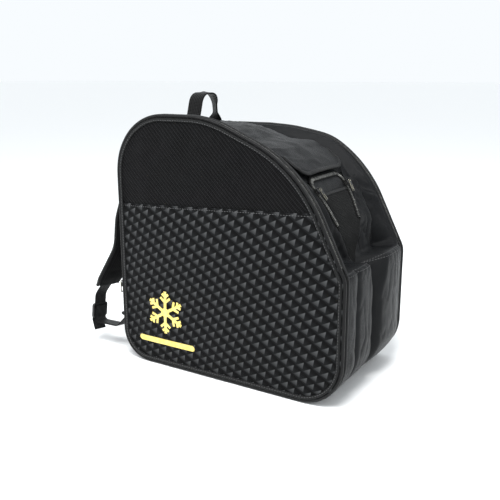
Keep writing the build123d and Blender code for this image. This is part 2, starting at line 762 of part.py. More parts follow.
# ---- gold motif: a six-armed ice crystal over a plain bar ---------------------------------------
with BuildPart() as motif_crystal:
    with BuildSketch(side_plane(PANEL_Y)):
        with Locations((MOTIF_X, MOTIF_Z)):
            RegularPolygon(MOTIF_HUB_R, 6)
            with PolarLocations(0, 6, 90):
                Rectangle(MOTIF_R, MOTIF_ARM, align=(Align.MIN, Align.CENTER))
            for share, length in BRANCHES:
                for turn in (-BRANCH_ANGLE, BRANCH_ANGLE):
                    with PolarLocations(MOTIF_R * share, 6, 90):
                        Rectangle(
                            MOTIF_R * length,
                            MOTIF_ARM * 0.8,
                            rotation=turn,
                            align=(Align.MIN, Align.CENTER),
                        )
    extrude(amount=MOTIF_T)
write(motif_crystal, "motif_crystal")

with BuildPart() as motif_bar:
    with BuildSketch(side_plane(PANEL_Y)):
        with Locations((MOTIF_X, BAR_Z)):
            SlotOverall(BAR_L, BAR_H)
    extrude(amount=MOTIF_T)
write(motif_bar, "motif_bar")
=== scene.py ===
"""Skate bag: fabric, zips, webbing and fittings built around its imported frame.

All sizes are in millimetres in the frame's axes: +X towards the sloping toe, +Y across to the right
compartment, +Z up. MM turns them into metres where a mesh is made.
"""

import logging
import math
from dataclasses import dataclass, field
from enum import Enum
from typing import Callable, Sequence

import bmesh
import bpy
import numpy as np
from mathutils import Matrix, Vector, noise


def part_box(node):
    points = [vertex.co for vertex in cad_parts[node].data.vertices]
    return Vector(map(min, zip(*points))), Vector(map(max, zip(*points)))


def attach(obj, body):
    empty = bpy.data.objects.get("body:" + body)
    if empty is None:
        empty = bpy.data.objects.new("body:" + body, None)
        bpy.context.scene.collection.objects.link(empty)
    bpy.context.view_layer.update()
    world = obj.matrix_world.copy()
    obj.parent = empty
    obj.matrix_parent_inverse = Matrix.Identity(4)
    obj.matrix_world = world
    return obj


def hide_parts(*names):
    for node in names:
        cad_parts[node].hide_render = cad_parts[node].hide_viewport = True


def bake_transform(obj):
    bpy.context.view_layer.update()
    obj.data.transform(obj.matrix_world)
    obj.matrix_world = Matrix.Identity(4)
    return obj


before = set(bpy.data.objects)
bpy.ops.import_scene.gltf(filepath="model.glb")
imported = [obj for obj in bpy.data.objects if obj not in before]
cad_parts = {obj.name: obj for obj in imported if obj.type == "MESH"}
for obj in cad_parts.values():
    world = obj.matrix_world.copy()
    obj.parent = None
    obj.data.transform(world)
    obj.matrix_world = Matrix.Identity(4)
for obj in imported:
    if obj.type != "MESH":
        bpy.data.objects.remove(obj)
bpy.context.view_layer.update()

MM = 0.001
X_AXIS, Y_AXIS, Z_AXIS = np.eye(3)
CLOTH_UV = "cloth"
log = logging.getLogger("skate_bag")

Points = np.ndarray
Socket = bpy.types.NodeSocket
Sockets = bpy.types.NodeOutputs


class Side(Enum):
    """The two sides of the bag, by the sign of Y."""

    LEFT = -1
    RIGHT = 1

    def name_of(self, piece: str) -> str:
        """Name of a piece on this side."""
        return f"{self.name.lower()}_{piece}"


class Weave(Enum):
    """How a cloth is made, which sets its relief."""

    PLAIN = "plain"
    BASKET = "basket"
    TWILL = "twill"
    KNIT = "knit"
    RIB = "rib"
    SPACER = "spacer"


# ---- finishes ------------------------------------------------------------------------------------


def linear(hex_colour: str) -> tuple[float, float, float, float]:
    """Linear colour of an sRGB hex value.

    Args:
        hex_colour: six hex digits.

    Returns:
        Red, green, blue and an alpha of one.
    """
    channels = [int(hex_colour[i : i + 2], 16) / 255 for i in (0, 2, 4)]
    curve = [c / 12.92 if c <= 0.04045 else ((c + 0.055) / 1.055) ** 2.4 for c in channels]
    return curve[0], curve[1], curve[2], 1.0


class Graph:
    """A new material's node tree, with a short call for each kind of node that the finishes use."""

    def __init__(self, name: str) -> None:
        """Start a material that is named for the real one."""
        self.material = bpy.data.materials.new(name)
        self.material.use_nodes = True
        self.tree = self.material.node_tree
        self.shader = self.tree.nodes["Principled BSDF"]

    def feed(self, node: bpy.types.Node, inputs: dict) -> None:
        """Give a node's inputs, by name or number, their values and links."""
        for key, value in inputs.items():
            if isinstance(value, bpy.types.NodeSocket):
                self.tree.links.new(value, node.inputs[key])
            else:
                node.inputs[key].default_value = value

    def node(self, kind: str, inputs: dict, **settings) -> bpy.types.Node:
        """Add one node.

        Args:
            kind: node type, without its common prefix.
            inputs: value or output socket for each input.
            settings: the node's own properties.

        Returns:
            The new node.
        """
        node = self.tree.nodes.new("ShaderNode" + kind)
        for key, value in settings.items():
            setattr(node, key, value)
        self.feed(node, inputs)
        return node

    def calc(self, operation: str, *values) -> Socket:
        """Result of one math operation."""
        return self.node("Math", dict(enumerate(values)), operation=operation).outputs[0]

    def vector(self, operation: str, one, other) -> bpy.types.NodeOutputs:
        """Outputs of one vector operation."""
        return self.node("VectorMath", {0: one, 1: other}, operation=operation).outputs

    def noise(self, place: Socket, size: float, detail: float, roughness: float = 0.5) -> Sockets:
        """Outputs of a noise whose features have a size in the units of the place."""
        inputs = {"Vector": place, "Scale": 1 / size, "Detail": detail, "Roughness": roughness}
        return self.node("TexNoise", inputs).outputs

    def mix(self, factor, low, high) -> Socket:
        """Colour between two others."""
        return self.node("Mix", {"Factor": factor, 6: low, 7: high}, data_type="RGBA").outputs[2]

    def span(self, value: Socket, ends: tuple, results: tuple = (0.0, 1.0), kind: str = "LINEAR") -> Socket:
        """A value's range between two ends brought to another range."""
        names = ("From Min", "From Max", "To Min", "To Max")
        inputs = {"Value": value, **dict(zip(names, (*ends, *results)))}
        return self.node("MapRange", inputs, interpolation_type=kind).outputs[0]

    def bump(self, strength: float, depth: float, height: Socket, under: dict | None = None) -> Socket:
        """Relief of a depth in mm, over another one where that is given as the Normal input."""
        inputs = {"Strength": strength, "Distance": depth * MM, "Height": height, **(under or {})}
        return self.node("Bump", inputs).outputs[0]


@dataclass(frozen=True)
class Cloth:
    """A woven or knitted fabric.

    Its pattern follows the piece's own map, which is in millimetres along and across the cloth.
    """

    name: str
    thread: str  # lit side of the yarn
    gap_shade: str  # painted shade between the yarns
    weave: Weave
    pitch: float  # repeat of the relief, mm
    relief: float  # height of the relief, mm
    roughness: float
    sheen: float
    specular: float
    painted_light_mottle: float = 0.35  # share of random patches of painted uneven light and shade
    painted_light_mottle_size: float = 26.0

    def relief_of(self, graph: Graph, along: Socket, across: Socket) -> Socket:
        """Height of the weave, about -1 to 1.

        Args:
            graph: material's nodes.
            along: length along the cloth, mm.
            across: length across the cloth, mm.

        Returns:
            Socket with the height.
        """

        def wave(value: Socket, repeats: float = 1.0) -> Socket:
            """Sine of a length over a number of pitches."""
            return graph.calc("SINE", graph.calc("MULTIPLY", value, math.tau / (self.pitch * repeats)))

        def times(one, other) -> Socket:
            """Product of two values."""
            return graph.calc("MULTIPLY", one, other)

        diagonal = graph.calc("ADD", along, across)
        if self.weave is Weave.TWILL:
            return wave(diagonal)
        over, under = wave(along), wave(across)
        if self.weave is Weave.RIB:
            return graph.calc("ADD", under, times(wave(along, 0.7), 0.4))
        if self.weave is Weave.KNIT:
            rows = wave(graph.calc("ADD", across, times(over, self.pitch * 0.3)), 0.8)
            return graph.calc("ADD", rows, over)
        if self.weave is Weave.BASKET:
            return graph.calc("ADD", times(over, under), times(wave(diagonal, 2.0), 0.6))
        if self.weave is Weave.SPACER:
            return times(times(over, over), times(under, under))
        return times(over, under)

    def colour_of(self, graph: Graph, uv: Socket, height: Socket) -> Socket:
        """Colour from the relief, lit on its crests and with painted shade in its hollows, and random patches
        of painted uneven light.
        """
        # painted uneven light and shade: random lighter and darker patches over the whole cloth
        clouds = graph.noise(uv, self.painted_light_mottle_size, 4.0, 0.6)["Fac"]
        # painted light and shade: the weave's crests take the lit thread colour and its hollows the painted
        # gap shade
        level = graph.calc("ADD", graph.calc("MULTIPLY", height, 0.45), 0.5)
        cloud = graph.calc("MULTIPLY", graph.calc("SUBTRACT", clouds, 0.5), 2 * self.painted_light_mottle)
        return graph.mix(graph.calc("ADD", level, cloud), linear(self.gap_shade), linear(self.thread))

    def build(self) -> bpy.types.Material:
        """The cloth as a material."""
        graph = Graph(self.name)
        uv = graph.node("UVMap", {}, uv_map=CLOTH_UV).outputs["UV"]
        parts = graph.node("SeparateXYZ", {0: uv}).outputs
        height = self.relief_of(graph, parts[0], parts[1])
        # slack cloth is never quite flat: a shallow unevenness breaks up its highlights
        loose = graph.bump(0.35, 0.8, graph.noise(uv, 9.0, 3.0)["Fac"])
        inputs = {
            "Base Color": self.colour_of(graph, uv, height),
            "Normal": graph.bump(0.9, self.relief, height, {"Normal": loose}),
            "Roughness": self.roughness,
            "Sheen Weight": self.sheen,
            "Sheen Roughness": 0.4,
            "Specular IOR Level": self.specular,
        }
        graph.feed(graph.shader, inputs)
        return graph.material


@dataclass(frozen=True)
class PrintedCloth(Cloth):
    """Twill printed with staggered triangles that fade from their upright edge to their tip."""

    ink: str = "4d4e4f"
    shade: str = "050505"
    middle_tone: str = "1c1d1e"
    step_down: tuple[float, float] = (10.0, -7.0)  # from one triangle to the next, falling
    step_up: tuple[float, float] = (15.0, 7.0)  # and rising along a row

    def colour_of(self, graph: Graph, uv: Socket, height: Socket) -> Socket:
        """Plain ground with the triangles over it."""
        ground = super().colour_of(graph, uv, height)
        (ax, az), (bx, bz) = self.step_down, self.step_up
        area = ax * bz - az * bx
        stray = graph.vector("MULTIPLY", graph.noise(uv, 7.0, 2.0)["Color"], (0.8, 0.8, 0.0))[0]
        place = graph.vector("ADD", uv, stray)[0]

        def share(along: float, up: float) -> Socket:
            """Fraction of a repeat, from its weights along and up the cloth."""
            return graph.calc("FRACT", graph.vector("DOT_PRODUCT", place, (along, up, 0.0))["Value"])

        def part(factor: float, shift) -> Socket:
            """Line that rises with the fall by a factor, moved by a shift."""
            return graph.calc("ADD", graph.calc("MULTIPLY", fall, factor), shift)

        fall, rise = share(bz / area, -bx / area), share(-az / area, ax / area)
        # three edges of the triangle, each positive inside
        top = graph.calc("SUBTRACT", fall, 0.03)
        right = graph.calc("SUBTRACT", 0.86, part(0.82, rise))
        foot = graph.calc("SUBTRACT", rise, part(0.18, 0.05))
        inside = graph.calc("MINIMUM", graph.calc("MINIMUM", top, right), foot)
        mask = graph.span(inside, (-0.02, 0.05), kind="SMOOTHSTEP")
        fade = graph.span(rise, (0.1, 0.75), (0.15, 1.0))
        below = graph.span(rise, (0.35, 0.85), (0.0, 0.8), "SMOOTHSTEP")
        grey = graph.mix(0.55, ground, linear(self.middle_tone))
        shaded = graph.mix(below, grey, linear(self.shade))
        return graph.mix(graph.calc("MULTIPLY", mask, fade), shaded, linear(self.ink))


@dataclass(frozen=True)
class Hard:
    """A moulded, painted or foiled finish, with fine grain and patches of a second colour: wear, and on the
    zip coil painted highlights.
    """

    name: str
    base: str
    # second colour: wear, except on the zip coil, where its pale patches are painted highlights
    worn_and_glint: str
    roughness: float
    metallic: float = 0.0
    grain: float = 0.6  # size of the surface grain, mm
    wear_and_glint: float = 0.3  # share of the surface that shows the second colour: wear, and on the zip coil painted highlights

    def build(self) -> bpy.types.Material:
        """The finish as a material."""
        graph = Graph(self.name)
        place = graph.node("TexCoord", {}).outputs["Object"]
        grain = graph.noise(place, self.grain * MM, 3.0)["Fac"]
        patches = graph.noise(place, 6 * self.grain * MM, 5.0)["Fac"]
        # patches of the second colour: wear on most finishes, painted highlights on the zip coil
        worn_and_glint = graph.span(patches, (0.7 - self.wear_and_glint, 0.75))
        inputs = {
            "Base Color": graph.mix(worn_and_glint, linear(self.base), linear(self.worn_and_glint)),
            "Normal": graph.bump(0.2, 0.1, grain),
            "Roughness": graph.span(patches, (0.0, 1.0), (self.roughness * 0.8, self.roughness * 1.2)),
            "Metallic": self.metallic,
        }
        graph.feed(graph.shader, inputs)
        return graph.material


class Finishes:
    """Every material of the bag, built once."""

    def __init__(self) -> None:
        """Build the materials: for each cloth its lit colour and painted gap shade, weave, pitch, relief and
        gloss.
        """
        plain, twill, rib = Weave.PLAIN, Weave.TWILL, Weave.RIB

        def cloth(name: str, thread: str, gap_shade: str, weave: Weave, *sizes: float) -> bpy.types.Material:
            """One cloth, from its pitch, relief, roughness, sheen, specular level and share of painted uneven
            light.
            """
            return Cloth(name, thread, gap_shade, weave, *sizes).build()

        # coated nylon oxford: a close plain weave with a soft sheen, so it greys where light rakes it;
        # its 0.5 mm threads are drawn at 1.6 mm, the finest that shows
        self.nylon = cloth("coated_nylon_oxford", "17181a", "060707", plain, 1.6, 0.1, 0.4, 0.01, 0.12, 0.25)
        # polyester dobby in a basket weave: matt black, its 3 mm cells catch the light in diagonal rows
        basket = Weave.BASKET
        looks = basket, 3.4, 0.6, 0.5, 0.01, 0.05, 0.25
        self.woven = cloth("polyester_basket_weave", "1a1a1b", "000000", *looks)
        # printed twill: fine diagonal rib under a matt grey ink
        ground = ("printed_polyester_twill", "0a0a0b", "030303", twill)
        self.printed = PrintedCloth(*ground, 1.8, 0.1, 0.6, 0.01, 0.05).build()
        # tape over a cord: tight and slightly shiny along its crown
        self.piping = cloth("polyester_piping_tape", "0d0d0e", "050505", twill, 1.5, 0.1, 0.36, 0.01, 0.2)
        # grosgrain: cross ribs that a fingernail can feel
        self.binding = cloth("grosgrain_binding", "101111", "060606", rib, 1.6, 0.15, 0.42, 0.01, 0.2)
        # polypropylene webbing: coarse ribs along its length
        self.webbing = cloth("polypropylene_webbing", "0b0b0c", "020202", rib, 3.0, 0.5, 0.42, 0.01, 0.14)
        # stretch knit: soft, dull, hardly any highlight
        self.knit = cloth("stretch_knit", "181919", "070707", Weave.KNIT, 2.2, 0.3, 0.9, 0.03, 0.04, 0.6)
        # spacer mesh: small holes right through its face
        spacer = Weave.SPACER
        self.spacer = cloth("polyester_spacer_mesh", "111112", "020202", spacer, 4.2, 0.8, 0.8, 0.02, 0.12)
        # plain lining: thin taffeta, a little lighter than the outside
        self.lining = cloth("polyester_taffeta_lining", "262729", "17181a", plain, 1.4, 0.08, 0.5, 0.05, 0.3)
        # zip tape: matt, with a faint rib
        self.tape = cloth("zip_tape", "0d0d0d", "050505", rib, 1.4, 0.15, 0.8, 0.02, 0.1)
        # bonded polyester thread: catches the light more than the cloth round it
        self.thread = Hard("bonded_polyester_thread", "3c3c3d", "565657", 0.5, grain=0.4).build()
        # nylon coil: smooth extruded plastic, so each turn has its own small highlight; its pale second
        # colour is a painted highlight
        self.coil = Hard("nylon_zip_coil", "2f2f2f", "7c7c77", 0.22, grain=0.8, wear_and_glint=0.35).build()
        # zinc die casting, black paint worn through at the rim
        self.zinc = Hard("painted_zinc_casting", "101011", "3c3c3a", 0.35, 0.4, grain=0.8, wear_and_glint=0.25).build()
        # bare zinc: pale and bright where the paint is gone
        self.rim = Hard("bare_zinc_edge", "b9b5a4", "8d8979", 0.3, 0.9, grain=0.7).build()
        # acetal: slightly waxy black moulding
        self.acetal = Hard("moulded_acetal", "131314", "1f1f20", 0.4, grain=0.5).build()
        # polyethylene sheet: even, dull and faintly waxy
        self.board = Hard("polyethylene_board", "202122", "2b2c2d", 0.55, grain=1.2).build()
        # heat-transfer foil: pale gold, creased very finely by the twill under it
        self.foil = Hard("gold_transfer_foil", "f0dc84", "e2c75c", 0.38, 0.35, grain=0.9, wear_and_glint=0.3).build()


# ---- mesh building -------------------------------------------------------------------------------


def smooth(value, low: float, high: float):
    """Smooth step from 0 at low to 1 at high."""
    t = np.clip((np.asarray(value, float) - low) / (high - low), 0, 1)
    return t * t * (3 - 2 * t)


def unit(vector) -> Points:
    """Vectors brought to length one."""
    vector = np.asarray(vector, float)
    return vector / np.maximum(np.linalg.norm(vector, axis=-1, keepdims=True), 1e-9)


def ripple(u, v, size: float, seed: float) -> Points:
    """Smooth noise over a grid, about -1 to 1.

    Args:
        u: lengths along, mm.
        v: lengths across, mm.
        size: width of a ripple, mm.
        seed: which of many such fields.

    Returns:
        Array shaped like u and v together.
    """
    u, v = np.broadcast_arrays(np.asarray(u, float), np.asarray(v, float))
    flat = [noise.noise(Vector((a / size, b / size, seed))) for a, b in zip(u.ravel(), v.ravel())]
    return np.array(flat).reshape(u.shape)


def lengths(points: Points) -> Points:
    """Length along a line of points, from 0."""
    steps = np.linalg.norm(np.diff(points, axis=0), axis=1)
    return np.concatenate([[0.0], np.cumsum(steps)])


def resample(points: Points, step: float) -> Points:
    """Points at even steps along a line."""
    along = lengths(points)
    count = max(2, int(round(along[-1] / step)) + 1)
    even = np.linspace(0, along[-1], count)
    return np.stack([np.interp(even, along, points[:, k]) for k in range(points.shape[1])], 1)


def rounded(corners: Sequence, radii: Sequence[float], step: float) -> Points:
    """A polyline with its inner corners rounded, as even points.

    Args:
        corners: points in two or three dimensions.
        radii: radius at each inner corner.
        step: spacing of the points.

    Returns:
        Points along the path.
    """
    corners = np.asarray(corners, float)
    path = [corners[0]]
    for before, corner, after, radius in zip(corners, corners[1:], corners[2:], radii):
        ahead, on = unit(corner - before), unit(after - corner)
        turn = math.acos(float(np.clip(ahead @ on, -1, 1)))
        side = unit(on - ahead * (ahead @ on))
        start = corner - ahead * radius * math.tan(turn / 2)
        for angle in np.linspace(0, turn, max(3, int(radius * turn / step) + 2)):
            path.append(start + ahead * radius * math.sin(angle) + side * radius * (1 - math.cos(angle)))
    path.append(corners[-1])
    return resample(np.array(path), step)


def only(piece: bpy.types.Object) -> None:
    """Make a piece the only one selected, and active."""
    bpy.ops.object.select_all(action="DESELECT")
    piece.select_set(True)
    bpy.context.view_layer.objects.active = piece


def apply_all(piece: bpy.types.Object) -> None:
    """Apply a piece's modifiers in order."""
    only(piece)
    for modifier in list(piece.modifiers):
        bpy.ops.object.modifier_apply(modifier=modifier.name)


def ridges(u, v, size: float, seed: float) -> Points:
    """Crisp folds over a grid, 0 between them and 1 along each crest."""
    field = np.abs(ripple(u, v, size, seed)) * 3.2
    return np.clip(1 - field, 0, 1) ** 2


def slump(points: Points) -> Points:
    """The soft bag's own lean: its right side sags behind the crown, its left side stands a little taller.

    Args:
        points: places on the bag as sewn, mm.

    Returns:
        The same places as the bag stands.
    """
    x, y, z = points[:, 0], points[:, 1], points[:, 2]
    sag = 20.0 * smooth(y, 6.0, 90.0) * smooth(z, 230.0, 372.0) * smooth(-x, -80.0, 40.0)
    rise = 1.5 * smooth(-y, 50.0, 105.0) * smooth(z, 270.0, 376.0) * smooth(-x, 0.0, 70.0)
    return points + np.stack([0 * x, 0 * y, rise - sag], 1)


def from_faces(
    name: str, points: Points, faces: list, uvs: list, finish: bpy.types.Material
) -> bpy.types.Object:
    """Object from points, faces and one map corner for each face corner.

    Args:
        name: piece's name.
        points: vertices, mm.
        faces: vertex numbers of each face.
        uvs: map corner of each face corner, mm.
        finish: material.

    Returns:
        The new object.
    """
    mesh = bpy.data.meshes.new(name)
    mesh.from_pydata((slump(np.asarray(points, float)) * MM).tolist(), [], faces)
    mesh.uv_layers.new(name=CLOTH_UV).data.foreach_set("uv", np.asarray(uvs, np.float32).ravel())
    mesh.materials.append(finish)
    piece = bpy.data.objects.new(name, mesh)
    bpy.context.scene.collection.objects.link(piece)
    return piece


def clean(piece: bpy.types.Object, middle: Sequence[float] | None) -> None:
    """Merge doubles, drop degenerate faces and turn the faces outwards.

    Args:
        piece: the piece.
        middle: a point behind an open sheet, mm, or None for a closed shape.
    """
    work = bmesh.new()
    work.from_mesh(piece.data)
    bmesh.ops.remove_doubles(work, verts=work.verts, dist=0.02 * MM)
    bmesh.ops.dissolve_degenerate(work, edges=work.edges, dist=0.02 * MM)
    bmesh.ops.recalc_face_normals(work, faces=work.faces)
    if middle is not None:
        inner = Vector(middle) * MM
        facing = sum(f.normal.dot(f.calc_center_median() - inner) * f.calc_area() for f in work.faces)
        if facing < 0:
            bmesh.ops.reverse_faces(work, faces=work.faces)
    work.to_mesh(piece.data)
    work.free()
    piece.data.polygons.foreach_set("use_smooth", [True] * len(piece.data.polygons))


def grid_faces(uv: Points, wrap: bool) -> tuple[list, list]:
    """Quads of a grid with their map corners.

    Args:
        uv: map corner of each grid point; one more column than points where the grid wraps.
        wrap: whether the columns close on themselves.

    Returns:
        Faces and map corners.
    """
    rows = uv.shape[0]
    columns = uv.shape[1] - (1 if wrap else 0)
    faces, corners = [], []
    for i in range(rows - 1):
        for j in range(uv.shape[1] - 1):
            k = (j + 1) % columns
            faces.append((i * columns + j, (i + 1) * columns + j, (i + 1) * columns + k, i * columns + k))
            corners += [uv[i, j], uv[i + 1, j], uv[i + 1, j + 1], uv[i, j + 1]]
    return faces, corners


def cloth_sheet(
    name: str,
    points: Points,
    finish: bpy.types.Material,
    middle: Sequence[float],
    thickness: float = 1.2,
    uv: Points | None = None,
) -> bpy.types.Object:
    """A sheet of cloth through a grid of points, with a real thickness on its inner side.

    Args:
        name: piece's name.
        points: grid of points, rows by columns by 3, mm.
        finish: material.
        middle: a point behind the sheet, mm.
        thickness: cloth thickness, mm.
        uv: map of each point, mm, or None to measure it along the grid.

    Returns:
        The new object.
    """
    if uv is None:
        columns = points.shape[1]
        along = lengths(points[:, columns // 2])
        widths = np.array([lengths(row) for row in points])
        uv = np.stack([np.repeat(along[:, None], columns, 1), widths - widths[:, -1:] / 2], -1)
    faces, corners = grid_faces(uv, False)
    piece = from_faces(name, points.reshape(-1, 3), faces, corners, finish)
    clean(piece, middle)
    wall = piece.modifiers.new("wall", "SOLIDIFY")
    wall.thickness = thickness * MM
    wall.offset = -1.0
    apply_all(piece)
    return piece


def sweep(
    name: str,
    path: Points,
    across: Points,
    up: Points,
    section: Points,
    finish: bpy.types.Material,
    closed: bool = False,
) -> bpy.types.Object:
    """A closed section carried along a path.

    Args:
        name: piece's name.
        path: points of the path, mm.
        across: direction of the section's first axis at each point.
        up: direction of its second axis.
        section: points of the section, for all stations or for each.
        finish: material.
        closed: whether the path closes on itself.

    Returns:
        The new object.
    """
    count = len(path)
    section = np.broadcast_to(section, (count,) + np.shape(section)[-2:])
    across = np.broadcast_to(across, (count, 3))
    up = np.broadcast_to(up, (count, 3))
    rings = path[:, None] + section[..., :1] * across[:, None] + section[..., 1:] * up[:, None]
    sides = rings.shape[1]
    along = lengths(path)
    girth = lengths(np.vstack([section[0], section[0][:1]]))
    if closed:
        rings = np.concatenate([rings, rings[:1]])
        along = np.append(along, along[-1] + np.linalg.norm(path[0] - path[-1]))
    uv = np.stack(np.meshgrid(along, girth, indexing="ij"), -1)
    faces, corners = grid_faces(uv, True)
    if not closed:
        for start in (0, (count - 1) * sides):
            faces.append(tuple(range(start, start + sides)))
            corners += [(0.0, g) for g in girth[:-1]]
    piece = from_faces(name, rings.reshape(-1, 3), faces, corners, finish)
    clean(piece, None)
    return piece


def ring_section(radius: float, sides: int, flat: float = 1.0) -> Points:
    """Round section, or oval where flat is under one."""
    turns = np.linspace(0, math.tau, sides, endpoint=False)
    return np.stack([radius * np.cos(turns), radius * flat * np.sin(turns)], 1)


def band_section(width: float, thickness: float, edge: int = 4) -> Points:
    """Flat section with round edges."""
    half = width / 2 - thickness / 2
    turns = np.linspace(-math.pi / 2, math.pi / 2, edge)
    right = np.stack([half + thickness / 2 * np.cos(turns), thickness / 2 * np.sin(turns)], 1)
    inner = np.linspace(half, -half, 7)[1:-1]
    top = np.stack([inner, np.full(5, thickness / 2)], 1)
    left = -right
    bottom = -top
    return np.vstack([right, top, left, bottom])


def frames(path: Points, up) -> tuple[Points, Points]:
    """Directions across and out of a surface along a path on it.

    Args:
        path: points of the path.
        up: outward direction of the surface at each point, or one for all.

    Returns:
        Across and up directions.
    """
    ahead = unit(np.gradient(path, axis=0))
    up = np.broadcast_to(np.asarray(up, float), path.shape)
    up = unit(up - ahead * np.sum(up * ahead, 1, keepdims=True))
    return np.cross(ahead, up), up


def scatter(
    name: str, template: Points, faces: list, origins: Points, axes: Points, finish: bpy.types.Material
) -> bpy.types.Object:
    """Copies of one small shape as one piece.

    Args:
        name: piece's name.
        template: points of the shape, mm.
        faces: its faces.
        origins: where each copy stands.
        axes: for each copy, its three directions as rows.
        finish: material.

    Returns:
        The new object.
    """
    points = origins[:, None] + np.einsum("kj,njd->nkd", template, axes)
    count = len(template)
    many = [tuple(i * count + v for v in f) for i in range(len(origins)) for f in faces]
    corners = [(0.0, 0.0)] * sum(len(f) for f in many)
    piece = from_faces(name, points.reshape(-1, 3), many, corners, finish)
    piece.data.polygons.foreach_set("use_smooth", [True] * len(many))
    return piece


def bead(length: float, width: float, height: float) -> tuple[Points, list]:
    """A small round-backed bar lying along its first axis, with its faces.

    Args:
        length: along the first axis.
        width: across.
        height: above the surface.

    Returns:
        Points and faces.
    """
    rings = [(-0.5, 0.45), (-0.3, 1.0), (0.3, 1.0), (0.5, 0.45)]
    turns = [math.radians(a) for a in (0, 45, 90, 135, 180, 270)]
    points = [
        (length * x, width / 2 * r * math.cos(t), height * r * math.sin(t) * (1 if t <= math.pi else 0.4))
        for x, r in rings
        for t in turns
    ]
    sides = len(turns)
    faces = [
        (i * sides + j, (i + 1) * sides + j, (i + 1) * sides + (j + 1) % sides, i * sides + (j + 1) % sides)
        for i in range(len(rings) - 1)
        for j in range(sides)
    ]
    faces = [tuple(reversed(f)) for f in faces]
    faces.append(tuple(range(sides)))
    faces.append(tuple(reversed(range((len(rings) - 1) * sides, len(rings) * sides))))
    return np.array(points), faces


def along_path(path: Points, up, pitch: float, shift: float = 0.0) -> tuple[Points, Points]:
    """Even places on a path with their directions.

    Args:
        path: points of the path.
        up: outward direction at each point, or one for all.
        pitch: spacing.
        shift: first place along the path.

    Returns:
        Places, and for each its directions along, across and up as rows.
    """
    across, out = frames(path, up)
    ahead = unit(np.gradient(path, axis=0))
    run = lengths(path)
    places = np.arange(shift + pitch / 2, run[-1], pitch)
    lines = [path, ahead, across, out]
    stack = [np.stack([np.interp(places, run, line[:, k]) for k in range(3)], 1) for line in lines]
    return stack[0], np.stack([unit(line) for line in stack[1:]], 1)


def stitches(name: str, path: Points, up, finish: bpy.types.Material, pitch: float = 4.2) -> bpy.types.Object:
    """A row of lockstitches lying on a surface."""
    origins, axes = along_path(path, up, pitch)
    points, faces = bead(pitch * 0.62, 0.8, 0.45)
    return scatter(name, points, faces, origins, axes, finish)


def settle(piece: bpy.types.Object, body: str, slot: str, *nodes: str) -> bpy.types.Object:
    """Let a finished piece ride on its body and stand for its frame nodes.

    Args:
        piece: the piece.
        body: body that it moves with.
        slot: label of a material slot, which is only logged.
        nodes: frame nodes that it stands for.

    Returns:
        The piece.
    """
    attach(piece, body)
    dress(piece, slot, *nodes)
    return piece


def dress(piece: bpy.types.Object, slot: str, *nodes: str) -> None:
    """Hide the frame nodes that a piece stands for, and log the piece with its face count and slot label."""
    if nodes:
        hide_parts(*nodes)
    log.info("%s: %d faces, slot %s", piece.name, len(piece.data.polygons), slot)


def box_of(node: str) -> tuple[Vector, Vector]:
    """Lowest and highest corner of a frame node, mm."""
    low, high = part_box(node)
    return Vector(low) / MM, Vector(high) / MM


# ---- the bag's own geometry ----------------------------------------------------------------------


